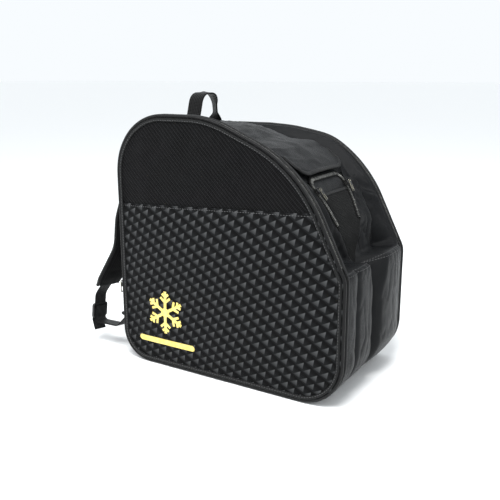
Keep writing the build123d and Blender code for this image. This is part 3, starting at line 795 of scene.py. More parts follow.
@dataclass
class SideOutline:
    """Boot-shaped side outline, walked from the heel along the base, up the toe and back over the top."""

    length: float
    height: float
    toe_top: float = 181.0
    shoulder_from_toe: float = 70.0
    shoulder_drop: float = 58.0
    crown_from_toe: float = 207.0
    radii: tuple[float, ...] = (48.0, 66.0, 30.0, 200.0, 150.0, 88.0)
    step: float = 0.5
    arcs: list = field(default_factory=list)

    def __post_init__(self) -> None:
        """Walk the outline once and keep its points, inward directions and the ends of its arcs."""
        half = self.length / 2
        corners = np.array(
            [
                (-half, 0.0),
                (half, 0.0),
                (half, self.toe_top),
                (half - self.shoulder_from_toe, self.height - self.shoulder_drop),
                (half - self.crown_from_toe, self.height),
                (-half, self.height),
            ]
        )
        points, inward, ends = [], [], []
        for i, radius in enumerate(self.radii):
            before, corner, after = corners[i - 1], corners[i], corners[(i + 1) % 6]
            ahead, on = unit(corner - before), unit(after - corner)
            turn = math.acos(float(ahead @ on))
            left = np.array([-ahead[1], ahead[0]])
            start = corner - ahead * radius * math.tan(turn / 2)
            ends.append(len(points))
            for angle in np.linspace(0, turn, int(radius * turn / self.step) + 2):
                direction = left * math.cos(angle) - ahead * math.sin(angle)
                points.append(start + left * radius - direction * radius)
                inward.append(direction)
            ends.append(len(points) - 1)
        points.append(points[0])
        inward.append(inward[0])
        self.points, self.inward = np.array(points), np.array(inward)
        self.run = lengths(self.points)
        self.total = float(self.run[-1])
        self.arcs = [(float(self.run[a]), float(self.run[b])) for a, b in zip(ends[::2], ends[1::2])]

    def at(self, s, inset=0.0) -> tuple[Points, Points, Points, Points]:
        """Places on the outline.

        Args:
            s: length along it.
            inset: distance in from it.

        Returns:
            X, Z and the inward direction's X and Z.
        """
        s = np.mod(np.asarray(s, float), self.total)
        x, z = (np.interp(s, self.run, self.points[:, k]) for k in (0, 1))
        nx, nz = (np.interp(s, self.run, self.inward[:, k]) for k in (0, 1))
        size = np.hypot(nx, nz)
        nx, nz = nx / size, nz / size
        return x + nx * inset, z + nz * inset, nx, nz

    def place(self, s, inset, y) -> Points:
        """Points at a length along the outline, an inset and a distance across the bag."""
        x, z, _, _ = self.at(s, inset)
        x, y, z = np.broadcast_arrays(x, y, z)
        return np.stack([x, y, z], -1)

    def out(self, s) -> Points:
        """Outward directions at lengths along the outline."""
        _, _, nx, nz = self.at(s)
        return np.stack([-nx, np.zeros_like(nx), -nz], -1)

    def nearest(self, x: float, z: float) -> float:
        """Length along the outline at the point nearest to a place."""
        s = np.arange(0, self.total, self.step)
        px, pz, _, _ = self.at(s)
        return float(s[np.argmin((px - x) ** 2 + (pz - z) ** 2)])

    def limits(self, x, inset: float) -> tuple[Points, Points]:
        """Lowest and highest Z of the inset shape at distances along the bag."""
        low = np.arange(0, self.arcs[1][1], self.step)
        high = np.arange(self.arcs[2][0], self.arcs[5][1], self.step)
        lx, lz, _, _ = self.at(low, inset)
        hx, hz, _, _ = self.at(high, inset)
        return np.interp(x, lx, lz), np.interp(x, hx[::-1], hz[::-1])


class BagShape:
    """Places that several sub-assemblies share, from the frame's boxes and the bag's own sizes."""

    tuck = 2.0  # fabric lies this far inside the piping
    piping_depth = 5.0
    centre_drop = 16.0  # centre top panel below the outline
    shell_drop = 18.4  # front surround below the outline
    fold_back, fold_front = 111.0, 196.0  # height of the door's fold at its two ends
    seam_back, seam_front = 247.0, 266.0  # and of the seam above the print
    v_foot, v_head = (4.0, 182.0), (72.0, 306.0)  # half width and height of the V between the compartments
    centre_half = 70.5
    door_foot, door_head = -11.0, 59.0  # up the slope from the middle of its edge
    door_foot_half, door_head_half = 33.0, 49.0
    door_corner = 12.0
    chain = 6.5
    flap_edge, flap_seam = 20.0, 32.0  # degrees round the shoulder from the slope
    flap_half = 68.0
    flap_corner = 22.0
    crease_height = 188.0  # where the two compartments meet at the toe
    crease_extra = 17.0
    back_inset = 3.6  # where the top meets the back panel

    def __init__(self) -> None:
        """Read the driving sizes from the frame."""
        low, high = box_of("left_gusset_piping")
        self.outline = SideOutline(high.x - low.x, high.z - low.z)
        self.half_length = (high.x - low.x) / 2
        self.height = high.z
        self.face = -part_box("left_lower_panel")[0].y / MM
        self.gusset_y = -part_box("left_gusset_piping")[1].y / MM
        self.back_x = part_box("back_panel")[0].x / MM
        self.slope_start = self.outline.arcs[2][1]
        self.slope_end = self.outline.arcs[3][0]
        _, _, nx, nz = self.outline.at((self.slope_start + self.slope_end) / 2)
        toe = np.array([self.half_length, 0.0, self.outline.toe_top])
        shoulder = np.array(
            [
                self.half_length - self.outline.shoulder_from_toe,
                0.0,
                self.height - self.outline.shoulder_drop,
            ]
        )
        self.slope_origin = (toe + shoulder) / 2
        self.slope_up = unit(shoulder - toe)
        self.slope_out = np.array([-float(nx), 0.0, -float(nz)])
        end = self.outline.place(self.slope_end, 0.0, 0.0)
        self.arc_from = float((end - self.slope_origin) @ self.slope_up)
        self.lean = (self.door_head_half - self.door_foot_half) / (self.door_head - self.door_foot)
        self.edge_s = self.slope_end + math.radians(self.flap_edge) * self.outline.radii[3]
        self.seam_s = self.slope_end + math.radians(self.flap_seam) * self.outline.radii[3]
        self.top_end = self.outline.arcs[5][1]
        s = np.arange(self.slope_end, self.seam_s, 0.5)
        self.head_s = float(s[np.argmin(np.abs(self.slope_height(s) - self.door_head))])
        self.zip_front = self.outline.nearest(self.half_length, self.fold_front)
        self.zip_back = self.outline.nearest(-self.half_length, self.fold_back)

    def fold_z(self, x) -> Points:
        """Height of the door's fold at distances along the bag."""
        return np.interp(x, (-self.half_length, self.half_length), (self.fold_back, self.fold_front))

    def seam_z(self, x) -> Points:
        """Height of the seam above the print."""
        return np.interp(x, (-self.half_length, self.half_length), (self.seam_back, self.seam_front))

    def fold_span(self, side: Side, reach: float) -> tuple[Vector, Vector]:
        """Points below and above the middle of a door's fold, in metres."""
        run = np.array([2 * self.half_length, 0.0, self.fold_front - self.fold_back])
        up = unit(np.array([-run[2], 0.0, run[0]]))
        middle = np.array([0.0, side.value * self.face, float(self.fold_z(0.0))])
        return Vector((middle - up * reach) * MM), Vector((middle + up * reach) * MM)

    def on_slope(self, y, h, inset) -> Points:
        """Points on the inset slope, from a distance across and a height up it."""
        y, h, inset = np.broadcast_arrays(*(np.asarray(a, float) for a in (y, h, inset)))
        past = np.maximum(0.0, h - self.arc_from)
        radius = self.outline.radii[3] - inset
        depth = inset + radius - np.sqrt(radius**2 - past**2)
        points = self.slope_origin + h[..., None] * self.slope_up - depth[..., None] * self.slope_out
        points[..., 1] = y
        return points

    def slope_height(self, s) -> Points:
        """Height up the slope of places along the outline."""
        return (self.outline.place(s, 0.0, 0.0) - self.slope_origin) @ self.slope_up

    def leg_half(self, h) -> Points:
        """Half the distance between the middles of the zip's legs."""
        wide = self.chain / 2 * math.hypot(1, self.lean)
        return self.door_foot_half + wide + self.lean * (np.asarray(h) - self.door_foot)

    def to_back(self, s, inset) -> Points:
        """Bring a sunken cloth out to the back panel as it comes down behind the top."""
        share = smooth(s, self.top_end - 80.0, self.top_end - 2.0)
        return inset * (1 - share) + self.back_inset * share

    def centre_edge(self, s) -> Points:
        """Half width of the sunken centre at lengths along the outline."""
        h = self.slope_height(s)
        crease_h = (self.crease_height - self.slope_origin[2]) / self.slope_up[2]
        outer = self.leg_half(h) + self.chain / 2 + 0.4
        foot = float(self.leg_half(self.door_foot)) + self.chain / 2 + 0.4
        below = foot * np.clip((h - crease_h) / (self.door_foot - crease_h), 0, 1)
        slope = np.where(h < self.door_foot, below, outer)
        top = smooth(s, self.head_s + 2, self.edge_s + 8)
        result = slope * (1 - top) + (self.centre_half + 0.6) * top
        return np.where(s < self.slope_start - 20, 0.0, result)

    def crease_h(self) -> float:
        """Height up the slope of the point where the two compartments meet."""
        return (self.crease_height - float(self.slope_origin[2])) / float(self.slope_up[2])

    def extra_drop(self, h) -> Points:
        """How much deeper than the surround the cloth lies towards the foot of the V."""
        return self.crease_extra * (1 - smooth(h, self.crease_h(), self.door_foot - 3.0))

    def face_y(self, x, z) -> Points:
        """How far the side panel's face stands from the middle plane: a soft crown with slack waves."""
        low, high = self.outline.limits(x, self.piping_depth)
        side = np.minimum(self.half_length - 5 - np.abs(x), np.minimum(z - low, high - z))
        crown = 3.0 * smooth(side, -1.0, 46.0)
        waves = 2.0 * ripple(x, z, 78.0, 3.0) + 0.7 * ripple(x, z, 31.0, 8.0)
        slack = ((x + 20.0) * 28.0 + (z - 143.0) * 50.0) / 57.3  # a diagonal crease where the cloth is slack
        along = ((x + 20.0) * 50.0 - (z - 143.0) * 28.0) / 57.3
        waves = waves - 1.5 * np.exp(-((slack / 13.0) ** 2) - (((along - 25.0) / 50.0) ** 2))
        return self.face - 0.3 + crown + waves * smooth(side, 0.0, 30.0)


# ---- side panels ---------------------------------------------------------------------------------


@dataclass
class SidePanel:
    """One side: woven and printed fabric, its linings, two pipings and the zip between them."""

    shape: BagShape
    finishes: Finishes
    side: Side
    grid: float = 4.0
    skin: float = 1.3
    tube: float = 2.45
    tape_width: float = 5.0
    tooth_pitch: float = 2.4
    fold_reach: float = 9.0

    @property
    def door(self) -> str:
        """Body of this side's door."""
        return self.side.name_of("door")

    def region(self, low: Callable, high: Callable, inset: float, depth: Callable) -> tuple[Points, Points]:
        """Grid over part of the side shape.

        Args:
            low: lower limit as a height at each distance along the bag.
            high: upper limit.
            inset: inset of the outline that bounds it.
            depth: distance of its face from the middle plane.

        Returns:
            Points and their map, mm.
        """
        edge = self.shape.half_length - inset
        x = np.linspace(-edge, edge, int(2 * edge / self.grid) + 1)
        floor, ceiling = self.shape.outline.limits(x, inset)
        bottom = np.maximum(floor, low(x))
        top = np.minimum(ceiling, high(x))
        keep = top > bottom + 0.3
        x, bottom, top = x[keep], bottom[keep], top[keep]
        count = int((top - bottom).max() / self.grid) + 1
        z = bottom[:, None] + (top - bottom)[:, None] * np.linspace(0, 1, count)
        xs = np.repeat(x[:, None], count, 1)
        y = self.side.value * depth(xs, z)
        return np.stack([xs, y, z], -1), np.stack([xs, z], -1)

    def panels(self) -> None:
        """Woven panel above the seam, and printed fabric that runs on across the door's fold."""
        shape, name = self.shape, self.side.name_of
        middle = (0.0, 0.0, shape.height / 2)
        floor, sky = (lambda x: np.full_like(x, -1.0)), (lambda x: np.full_like(x, 1e3))
        sunk = lambda x, z: shape.face_y(x, z) - 1.1 * np.exp(-(((z - shape.seam_z(x)) / 5.0) ** 2))
        points, uv = self.region(shape.seam_z, sky, 3.6, sunk)
        woven = cloth_sheet(name("woven_panel"), points, self.finishes.woven, middle, self.skin, uv)
        settle(woven, self.door, "mesh_panel", name("mesh_panel"))
        name("door_lining")
        points, uv = self.region(floor, shape.seam_z, 3.6, sunk)
        printed = cloth_sheet(name("printed_panel"), points, self.finishes.printed, middle, self.skin, uv)
        below, above = shape.fold_span(self.side, self.fold_reach)
        self.door
        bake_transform(printed)
        dress(printed, "print_fabric", name("print_panel"), name("lower_panel"))
        name("door_lining")

    def linings(self) -> None:
        """Padded lining inside the door, and inside the fixed part below it."""
        shape, name = self.shape, self.side.name_of
        inner = lambda x, z: shape.face_y(x, z) - 4.4
        quilted = lambda x, z: inner(x, z) + 0.5 * smooth(np.abs(((x + z) / 60 + 50) % 1 - 0.5), 0.5, 0.42)
        outside = (0.0, self.side.value * 400.0, shape.height / 2)
        sky = lambda x: np.full_like(x, 1e3)
        points, uv = self.region(lambda x: shape.fold_z(x) + 3.0, sky, 5.4, quilted)
        door = cloth_sheet(name("door_lining"), points, self.finishes.lining, outside, 1.6, uv)
        settle(door, self.door, "foam", name("door_foam"))
        name("face_piping")
        floor = lambda x: np.full_like(x, -1.0)
        points, uv = self.region(floor, lambda x: shape.fold_z(x) - 3.0, 5.4, inner)
        lower = cloth_sheet(name("lower_lining"), points, self.finishes.lining, outside, 1.6, uv)
        settle(lower, "bag", "lining")
        name("face_piping")

    def piping(self) -> None:
        """Outer piping round the face, and inner piping on the gusset."""
        shape, outline, name = self.shape, self.shape.outline, self.side.name_of
        s = np.linspace(0, outline.total, 300, endpoint=False)
        for label, y, seed in (
            ("face_piping", shape.face - 2.1, 1.0), ("inner_piping", shape.gusset_y + 2.0, 2.0)
        ):
            sway = 0.25 * ripple(s, 0.0 * s, 37.0, seed)
            across = self.side.value * (y + sway)
            path = outline.place(s, self.tube + 0.1 + 0.15 * ripple(s, 0.0 * s, 23.0, seed + 5), across)
            up = outline.out(s)
            piece = sweep(
                name(label), path, Y_AXIS, up, ring_section(self.tube, 12), self.finishes.piping, True
            )
            if label == "face_piping":
                below, above = shape.fold_span(self.side, self.fold_reach)
                self.door
                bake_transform(piece)
                dress(piece, "piping", name("door_piping"), name("lower_piping"))
                self.face_tape()
            else:
                settle(piece, "bag", "piping", name("gusset_piping"))

    def face_tape(self) -> None:
        """Binding tape that covers the panel's edge inside the piping."""
        shape, outline, name = self.shape, self.shape.outline, self.side.name_of
        s = np.linspace(0, outline.total, 320, endpoint=False)
        middle = 2 * self.tube + self.tape_width / 2 + 0.5
        x, z, _, _ = outline.at(s, middle)
        path = np.stack([x, self.side.value * (shape.face_y(x, z) + 0.5), z], 1)
        piece = sweep(
            name("edge_tape"),
            path,
            -outline.out(s),
            np.array([0.0, float(self.side.value), 0.0]),
            band_section(self.tape_width, 2.4, 5),
            self.finishes.binding,
            True,
        )
        self.door
        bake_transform(piece)
        dress(piece, "binding")

    def rim_tape(self) -> None:
        """Tape that closes the gap between the pipings where there is no zip."""
        shape, outline = self.shape, self.shape.outline
        s = np.arange(shape.zip_back - outline.total + 1, shape.zip_front - 1, 4.0)
        y = np.linspace(shape.gusset_y + 2, shape.face - 2, 5)
        points = outline.place(s[:, None], 3.0, self.side.value * y[None])
        tape = cloth_sheet(
            self.side.name_of("rim_tape"), points, self.finishes.nylon, (0, 0, shape.height / 2)
        )
        settle(tape, "bag", "piping")
        self.side.name_of("inner_piping")

    def zip(self) -> None:
        """The two halves of the zip, each with its tape and teeth; the outer half goes with the door."""
        shape, outline, name = self.shape, self.shape.outline, self.side.name_of
        s = np.arange(shape.zip_front + 3, shape.zip_back - 2, 3.0)
        up = outline.out(s)
        middle_y = (shape.gusset_y + 4 + shape.face - 4) / 2
        for label, body, direction, nodes in (
            ("zip_outer", self.door, 1, ()),
            ("zip_inner", "bag", -1, (name("zip_chain"),)),
        ):
            y = self.side.value * (middle_y + direction * 1.6)
            path = outline.place(s, 3.3, y)
            tape = sweep(
                name(label + "_tape"), path, Y_AXIS, up, band_section(3.0, 0.8), self.finishes.tape
            )
            settle(tape, body, "zip", *nodes)
            line = outline.place(s, 2.5, self.side.value * (middle_y + direction * 0.75))
            shift = 0.0 if direction > 0 else self.tooth_pitch / 2
            origins, axes = along_path(line, up, self.tooth_pitch, shift)
            points, faces = bead(2.6, 1.3, 1.3)
            turned = axes[:, (1, 0, 2)].copy()
            turned[:, 1] *= -1
            teeth = scatter(name(label + "_teeth"), points, faces, origins, turned, self.finishes.coil)
            settle(teeth, body, "zip")

    def seams(self) -> None:
        """Topstitching under the seam and just inside the face piping."""
        shape, outline, name = self.shape, self.shape.outline, self.side.name_of
        out = np.array([0.0, float(self.side.value), 0.0])
        edge = shape.half_length - 8
        x = np.arange(-edge, edge, 3.0)
        z = shape.seam_z(x) - 3.4
        x, z = x[z < outline.limits(x, 8.0)[1]], z[z < outline.limits(x, 8.0)[1]]
        path = np.stack([x, self.side.value * (shape.face_y(x, z) - 0.75), z], 1)
        settle(stitches(name("seam_stitches"), path, out, self.finishes.thread), self.door, "print_fabric")
        for label, body, start, end in (
            ("door_edge_stitches", self.door, shape.zip_front + 6, shape.zip_back - 6),
            ("lower_edge_stitches", "bag", shape.zip_back - outline.total + 6, shape.zip_front - 6),
        ):
            s = np.arange(start, end, 3.0)
            x, z, _, _ = outline.at(s, 8.6)
            y = self.side.value * (shape.face_y(x, z) + 1.6)
            row = stitches(name(label), np.stack([x, y, z], 1), out, self.finishes.thread)
            settle(row, body, "print_fabric")

    def build(self) -> None:
        """Make the whole side."""
        self.linings()
        self.panels()
        self.piping()
        self.rim_tape()
        self.zip()
        self.seams()


# ---- gussets and walls ---------------------------------------------------------------------------


@dataclass
class Gusset:
    """Outer fabric of one compartment between its piping and the sunken centre, down to the toe."""

    shape: BagShape
    finishes: Finishes
    side: Side
    step: float = 3.0
    rows: int = 44
    bellows_y: float = 64.0  # fold down the toe
    bellows_depth: float = 5.5
    crease_depth: float = 15.0  # where the two compartments meet
    skin: float = 1.2
    rim: float = 92.5  # half width where the fabric meets the piping
    outer: float = 96.0  # and of the gusset's outer edge

    def inset(self, s: Points, y: Points) -> Points:
        """How far the fabric lies inside the outline.

        Args:
            s: length along the outline.
            y: distance from the middle plane.

        Returns:
            Insets, mm.
        """
        shape = self.shape
        _, z, _, _ = shape.outline.at(s)
        near = self.side is Side.LEFT
        toe = (1 - smooth(z, 185.0, 201.0)) * (s < shape.slope_end)
        top = smooth(s, shape.slope_end - 10, shape.edge_s)
        edge = shape.centre_edge(s)
        floor = np.maximum(self.rim - 11.0, edge + 2.0) if near else np.maximum(self.rim - 16.0, edge + 2.0)
        deep = shape.shell_drop * (1 - top) + (shape.centre_drop + 0.8) * top
        deep = deep + shape.extra_drop(shape.slope_height(s)) * (s < shape.slope_end)
        deep = deep + (7.0 if near else 2.0) * smooth(y - edge, 4.0, 12.0) * (1 - top)
        drop = smooth(-y, -self.rim, -floor)
        upper = shape.tuck + (deep - shape.tuck) * drop
        # slack cloth swells between the rim and the zip, with creases that run down the slope
        swell = np.sin(math.pi * np.clip((floor - y) / np.maximum(floor - edge, 1.0), 0, 1)) * (1 - top)
        upper = upper - (0.0 if near else 8.0) * swell
        waves = 2.6 * ripple(s, y, 34.0, 20.0 + self.side.value) + 1.2 * ripple(s, y, 13.0, 31.0)
        creased = 5.0 * ridges(s * 0.3, y, 15.0, 44.0 + self.side.value) - 2.0
        away = smooth(self.outer - y, 2.0, 14.0) * smooth(y - edge, 0.0, 6.0)
        upper = upper + (waves + creased) * away * (0.8 if near else 1.0) * (1 - 0.6 * top)
        if not near:
            folds = self.right_folds(shape.slope_height(s), y)
            upper = upper + folds * (s < shape.edge_s + 12) * smooth(y - edge, 1.0, 9.0)
        fold_y = self.bellows_y
        if near:
            lower = self.bellows_depth * np.exp(-(((y - fold_y) / 4.5) ** 2))
            belly = -2.6 * np.sin(math.pi * np.clip((self.outer - y) / (self.outer - fold_y), 0, 1))
            belly = np.where(y < fold_y, -3.2 * np.sin(math.pi * np.clip(y / fold_y, 0, 1)), belly)
        else:
            lower = 0.0
            belly = -9.0 * np.sin(math.pi * np.clip((self.outer - y) / 92.0, 0, 1)) ** 0.6
        top_share = smooth(z, 128.0, 186.0)
        top_depth = shape.shell_drop + shape.crease_extra
        crease = self.crease_depth + (top_depth - self.crease_depth) * top_share
        crease = crease * (1 - smooth(y, 0.0, 15.0 + 16.0 * top_share))
        fade = smooth(z, 4.0, 66.0)
        lower = shape.tuck * (0.4 + 0.6 * fade) + (lower + belly + crease) * fade
        lower = lower + (0.35 * waves + 0.2 * creased) * away * fade
        lower = lower + 1.6 * np.exp(-(((z - 187.0) / 2.6) ** 2))
        return shape.to_back(s, upper * (1 - toe) + lower * toe)

    def right_folds(self, h: Points, y: Points) -> Points:
        """Folds pulled into the right gusset by the flap's corner and the rim.

        Args:
            h: height up the slope.
            y: distance from the middle plane.

        Returns:
            Change of inset, mm.
        """
        line = 52.0 + (64.0 - h) * 0.62  # a fold from the flap's corner down towards the rim
        ridge = -6.5 * np.exp(-(((y - line) / 5.0) ** 2)) * smooth(h, -14.0, 20.0)
        recess = 5.0 * np.exp(-(((y - line - 11.0) / 6.0) ** 2)) * smooth(h, -4.0, 30.0)
        low = np.exp(-(((h + 36.0) / 20.0) ** 2))
        valley = 5.0 * low * np.exp(-(((y - 74.0 - 0.15 * h) / 3.6) ** 2))
        crest = -4.0 * low * np.exp(-(((y - 62.0) / 6.5) ** 2))
        return (ridge + recess + valley + crest) * smooth(94.0 - y, 0.0, 7.0)

    def fabric(self) -> None:
        """The sheet itself, from the base at the toe over the top to the back."""
        shape, outline, name = self.shape, self.shape.outline, self.side.name_of
        s = np.arange(outline.arcs[1][0], shape.top_end + 4.0, self.step)
        edge = shape.centre_edge(s)
        start = shape.gusset_y + 0.6
        share = np.linspace(0, 1, self.rows)
        y = start + (edge - start)[:, None] * share
        ss = np.repeat(s[:, None], self.rows, 1)
        points = outline.place(ss, self.inset(ss, y), self.side.value * y)
        sheet = cloth_sheet(
            name("gusset_fabric"), points, self.finishes.nylon, (0, 0, shape.height / 2), self.skin
        )
        settle(sheet, "bag", "nylon", name("gusset"), name("toe_panel"))
        name("inner_piping")

    def seam(self) -> None:
        """Double-stitched seam across the toe."""
        shape, outline, name = self.shape, self.shape.outline, self.side.name_of
        s = outline.nearest(shape.half_length, 186.0)
        y = np.linspace(shape.gusset_y - 1, 5.0, 40)
        for number, shift in enumerate((-2.2, 2.2)):
            inset = self.inset(np.full_like(y, s + shift), y) - 0.1
            path = outline.place(s + shift, inset, self.side.value * y)
            row = stitches(
                name(f"toe_stitches_{number + 1}"), path, outline.out(np.array([s]))[0], self.finishes.thread
            )
            settle(row, "bag", "nylon")

    def build(self) -> None:
        """Make the gusset."""
        self.fabric()
        self.seam()


@dataclass
class Inside:
    """Linings of the dividers, the shared lower wall, and the base boards."""

    shape: BagShape
    finishes: Finishes
    lining_x: float = -176.5
    front_inset: float = 20.5

    def opening_edge(self, z: Points) -> Points:
        """Distance of the gusset's inner edge from the middle plane at heights on the slope."""
        shape = self.shape
        s = np.arange(shape.slope_start, shape.edge_s, 1.0)
        heights = shape.outline.place(s, shape.shell_drop, 0.0)[:, 2]
        return np.interp(z, heights, shape.centre_edge(s) + 1.2)

    def front_ends(self, side: Side, y: Points, z: Points) -> Points:
        """Where each row of a divider meets the gusset's cloth.

        Args:
            side: side of the bag.
            y: distances of the rows from the middle plane.
            z: heights of the rows.

        Returns:
            Distances along the bag, mm.
        """
        outline = self.shape.outline
        s = np.arange(outline.arcs[2][0], outline.arcs[4][1], 1.0)[:, None]
        y = np.maximum(y, self.opening_edge(z))
        inset = Gusset(self.shape, self.finishes, side).inset(s, y[None]) + 1.3
        cloth = outline.place(s, inset, y[None])
        rising = np.maximum.accumulate(cloth[..., 2], 0)
        return np.array([np.interp(z[row], rising[:, row], cloth[:, row, 0]) for row in range(len(z))])

    def divider(self, side: Side) -> None:
        """Wall of one compartment along the V."""
        shape, outline = self.shape, self.shape.outline
        (foot_y, foot_z), (head_y, head_z) = shape.v_foot, shape.v_head
        top = shape.height - self.front_inset
        line = rounded([(foot_y, foot_z), (head_y, head_z), (head_y, top)], [30.0], 6.0)
        y, z = line[:, 0], line[:, 1]
        ends = self.front_ends(side, y, z)
        share = np.linspace(0, 1, 60)
        corner = np.arange(outline.arcs[5][0], outline.arcs[5][1], 1.0)
        corner_x, corner_z, _, _ = outline.at(corner, self.front_inset)
        back = np.maximum(self.lining_x, np.interp(z, corner_z[::-1], corner_x[::-1]))
        x = back[:, None] + (ends - back)[:, None] * share
        flare = np.where(z > shape.crease_height, np.maximum(self.opening_edge(z) - y, 0.0), 0.0)
        yy = y[:, None] + flare[:, None] * smooth(share, 0.84, 1.0)
        zz = np.repeat(z[:, None], 60, 1)
        slack = (
            1.6 * ripple(x, zz, 48.0, 60.0 + side.value)
            * smooth(share, 0.0, 0.08) * smooth(-share, -1.0, -0.92)
        )
        points = np.stack([x, side.value * (yy + slack), zz], -1)
        wall = cloth_sheet(side.name_of("divider_lining"), points, self.finishes.lining, (0, 0, 400.0), 1.1)
        settle(wall, "bag", "lining", side.name_of("divider"))

    def lower_wall(self) -> None:
        """Wall that the two compartments share below the V."""
        shape, outline = self.shape, self.shape.outline
        z = np.linspace(shape.v_foot[1], 5.0, 40)
        s = np.arange(outline.arcs[1][0], shape.slope_start + 10, 1.0)
        front_x, front_z, _, _ = outline.at(s, 17.5)
        ends = np.interp(z, front_z, front_x) - 20.0 * smooth(z, 124.0, 184.0)
        low = outline.limits(np.array([self.lining_x]), 4.0)[0]
        back = np.where(z > low, self.lining_x, self.lining_x + (low - z) * 0.5)
        share = np.linspace(0, 1, 70)
        x = back[:, None] + (ends - back)[:, None] * share
        zz = np.repeat(z[:, None], 70, 1)
        y = 0.8 * ripple(x, zz, 60.0, 70.0)
        wall = cloth_sheet(
            "shared_wall", np.stack([x, y, zz], -1), self.finishes.lining, (0, -400.0, 90.0), 1.4
        )
        settle(wall, "bag", "lining", "lower_divider")

    def boards(self) -> None:
        """The stiffener boards keep their frame shape and take their material."""
        for side in Side:
            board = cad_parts[side.name_of("base_board")]
            board.data.materials.clear()
            board.data.materials.append(self.finishes.board)
            log.info("%s dressed", board.name)

    def build(self) -> None:
        """Make the inside."""
        for side in Side:
            self.divider(side)
        self.lower_wall()
        self.boards()


@dataclass
class BaseAndBack:
    """Base fabric, padded back panel, its lining and its bindings."""

    shape: BagShape
    finishes: Finishes
    pad_rise: float = 3.2
    channel: float = 2.6
    pad_depth: float = 7.5

    def base(self) -> None:
        """Fabric under the bag, up round the heel to the back panel."""
        shape, outline = self.shape, self.shape.outline
        s = np.arange(0.0, outline.arcs[1][0] + 2, 4.0)
        y = np.linspace(-shape.gusset_y - 1, shape.gusset_y + 1, 49)
        inset = 0.15 + 1.85 * (1 - smooth(s, 5.0, 60.0))
        wrinkle = 0.6 * np.abs(ripple(s[:, None], y[None], 40.0, 80.0))
        points = outline.place(s[:, None], inset[:, None] + wrinkle, y[None])
        sheet = cloth_sheet("base_fabric", points, self.finishes.nylon, (0, 0, shape.height / 2), 1.2)
        settle(sheet, "bag", "nylon", "base_panel")

    def pad_face(self, y: Points, z: Points, low: float, high: float) -> Points:
        """How far the pad's face stands back from the panel: crowned between sewn channels."""
        edge = np.minimum(self.shape.gusset_y - np.abs(y), np.minimum(z - low, high - z))
        crown = self.pad_rise * smooth(edge, -2.0, 18.0)
        chevron = (z + 0.35 * np.abs(y) - low) % 58.0
        groove = np.exp(-((np.minimum(chevron, 58.0 - chevron) / 4.0) ** 2))
        middle = np.exp(-((y / 5.0) ** 2))
        seams = np.maximum(groove, middle) * smooth(edge, 6.0, 16.0)
        return crown - self.channel * seams + 0.3 * ripple(y, z, 22.0, 90.0)

    def back(self) -> None:
        """Padded back panel in spacer mesh, and the lining behind it."""
        low, high = box_of("back_panel")
        y = np.linspace(low.y, high.y, 97)
        z = np.linspace(low.z - 1, high.z + 2, 121)
        yy, zz = np.meshgrid(y, z)
        face = low.x - self.pad_face(yy, zz, low.z, high.z)
        inner = np.full_like(face, low.x + self.pad_depth)
        front = np.stack([face, yy, zz], -1)
        rear = np.stack([inner, yy, zz], -1)
        ring = np.concatenate([front, rear[:, ::-1]], 1)
        across = lengths(ring[60])
        uv = np.stack(np.meshgrid(z, np.append(across, across[-1] + self.pad_depth), indexing="ij"), -1)
        faces, corners = grid_faces(uv, True)
        sides = ring.shape[1]
        for start in (0, (len(z) - 1) * sides):
            for j in range(len(y) - 1):
                faces.append((start + j, start + j + 1, start + sides - 2 - j, start + sides - 1 - j))
                corners += [(0, y[j]), (0, y[j + 1]), (self.pad_depth, y[j + 1]), (self.pad_depth, y[j])]
        pad = from_faces("back_pad", ring.reshape(-1, 3), faces, corners, self.finishes.spacer)
        clean(pad, None)
        settle(pad, "bag", "back_mesh", "back_panel", "back_foam")
        lining_low, lining_high = box_of("back_lining")
        yy, zz = np.meshgrid(
            np.linspace(lining_low.y, lining_high.y, 40), np.linspace(lining_low.z, lining_high.z, 50)
        )
        xx = lining_high.x + 0.5 * ripple(yy, zz, 40.0, 95.0)
        sheet = cloth_sheet(
            "inner_back_lining", np.stack([xx, yy, zz], -1), self.finishes.lining, (-400.0, 0, 170.0), 1.0
        )
        settle(sheet, "bag", "lining", "back_lining")

    def seams(self) -> None:
        """Binding along the top and foot of the back pad."""
        low, high = box_of("back_panel")
        for label, z in (("back_top_binding", high.z + 1), ("back_foot_binding", low.z)):
            y = np.linspace(low.y - 1, high.y + 1, 60)
            path = np.stack([np.full_like(y, low.x - 0.6), y, np.full_like(y, z)], 1)
            piece = sweep(
                label, path, Z_AXIS, -X_AXIS, band_section(7.0, 1.8), self.finishes.binding
            )
            settle(piece, "bag", "binding")

    def build(self) -> None:
        """Make the base and back."""
        self.base()
        self.back()
        self.seams()


# ---- the sunken centre ---------------------------------------------------------------------------


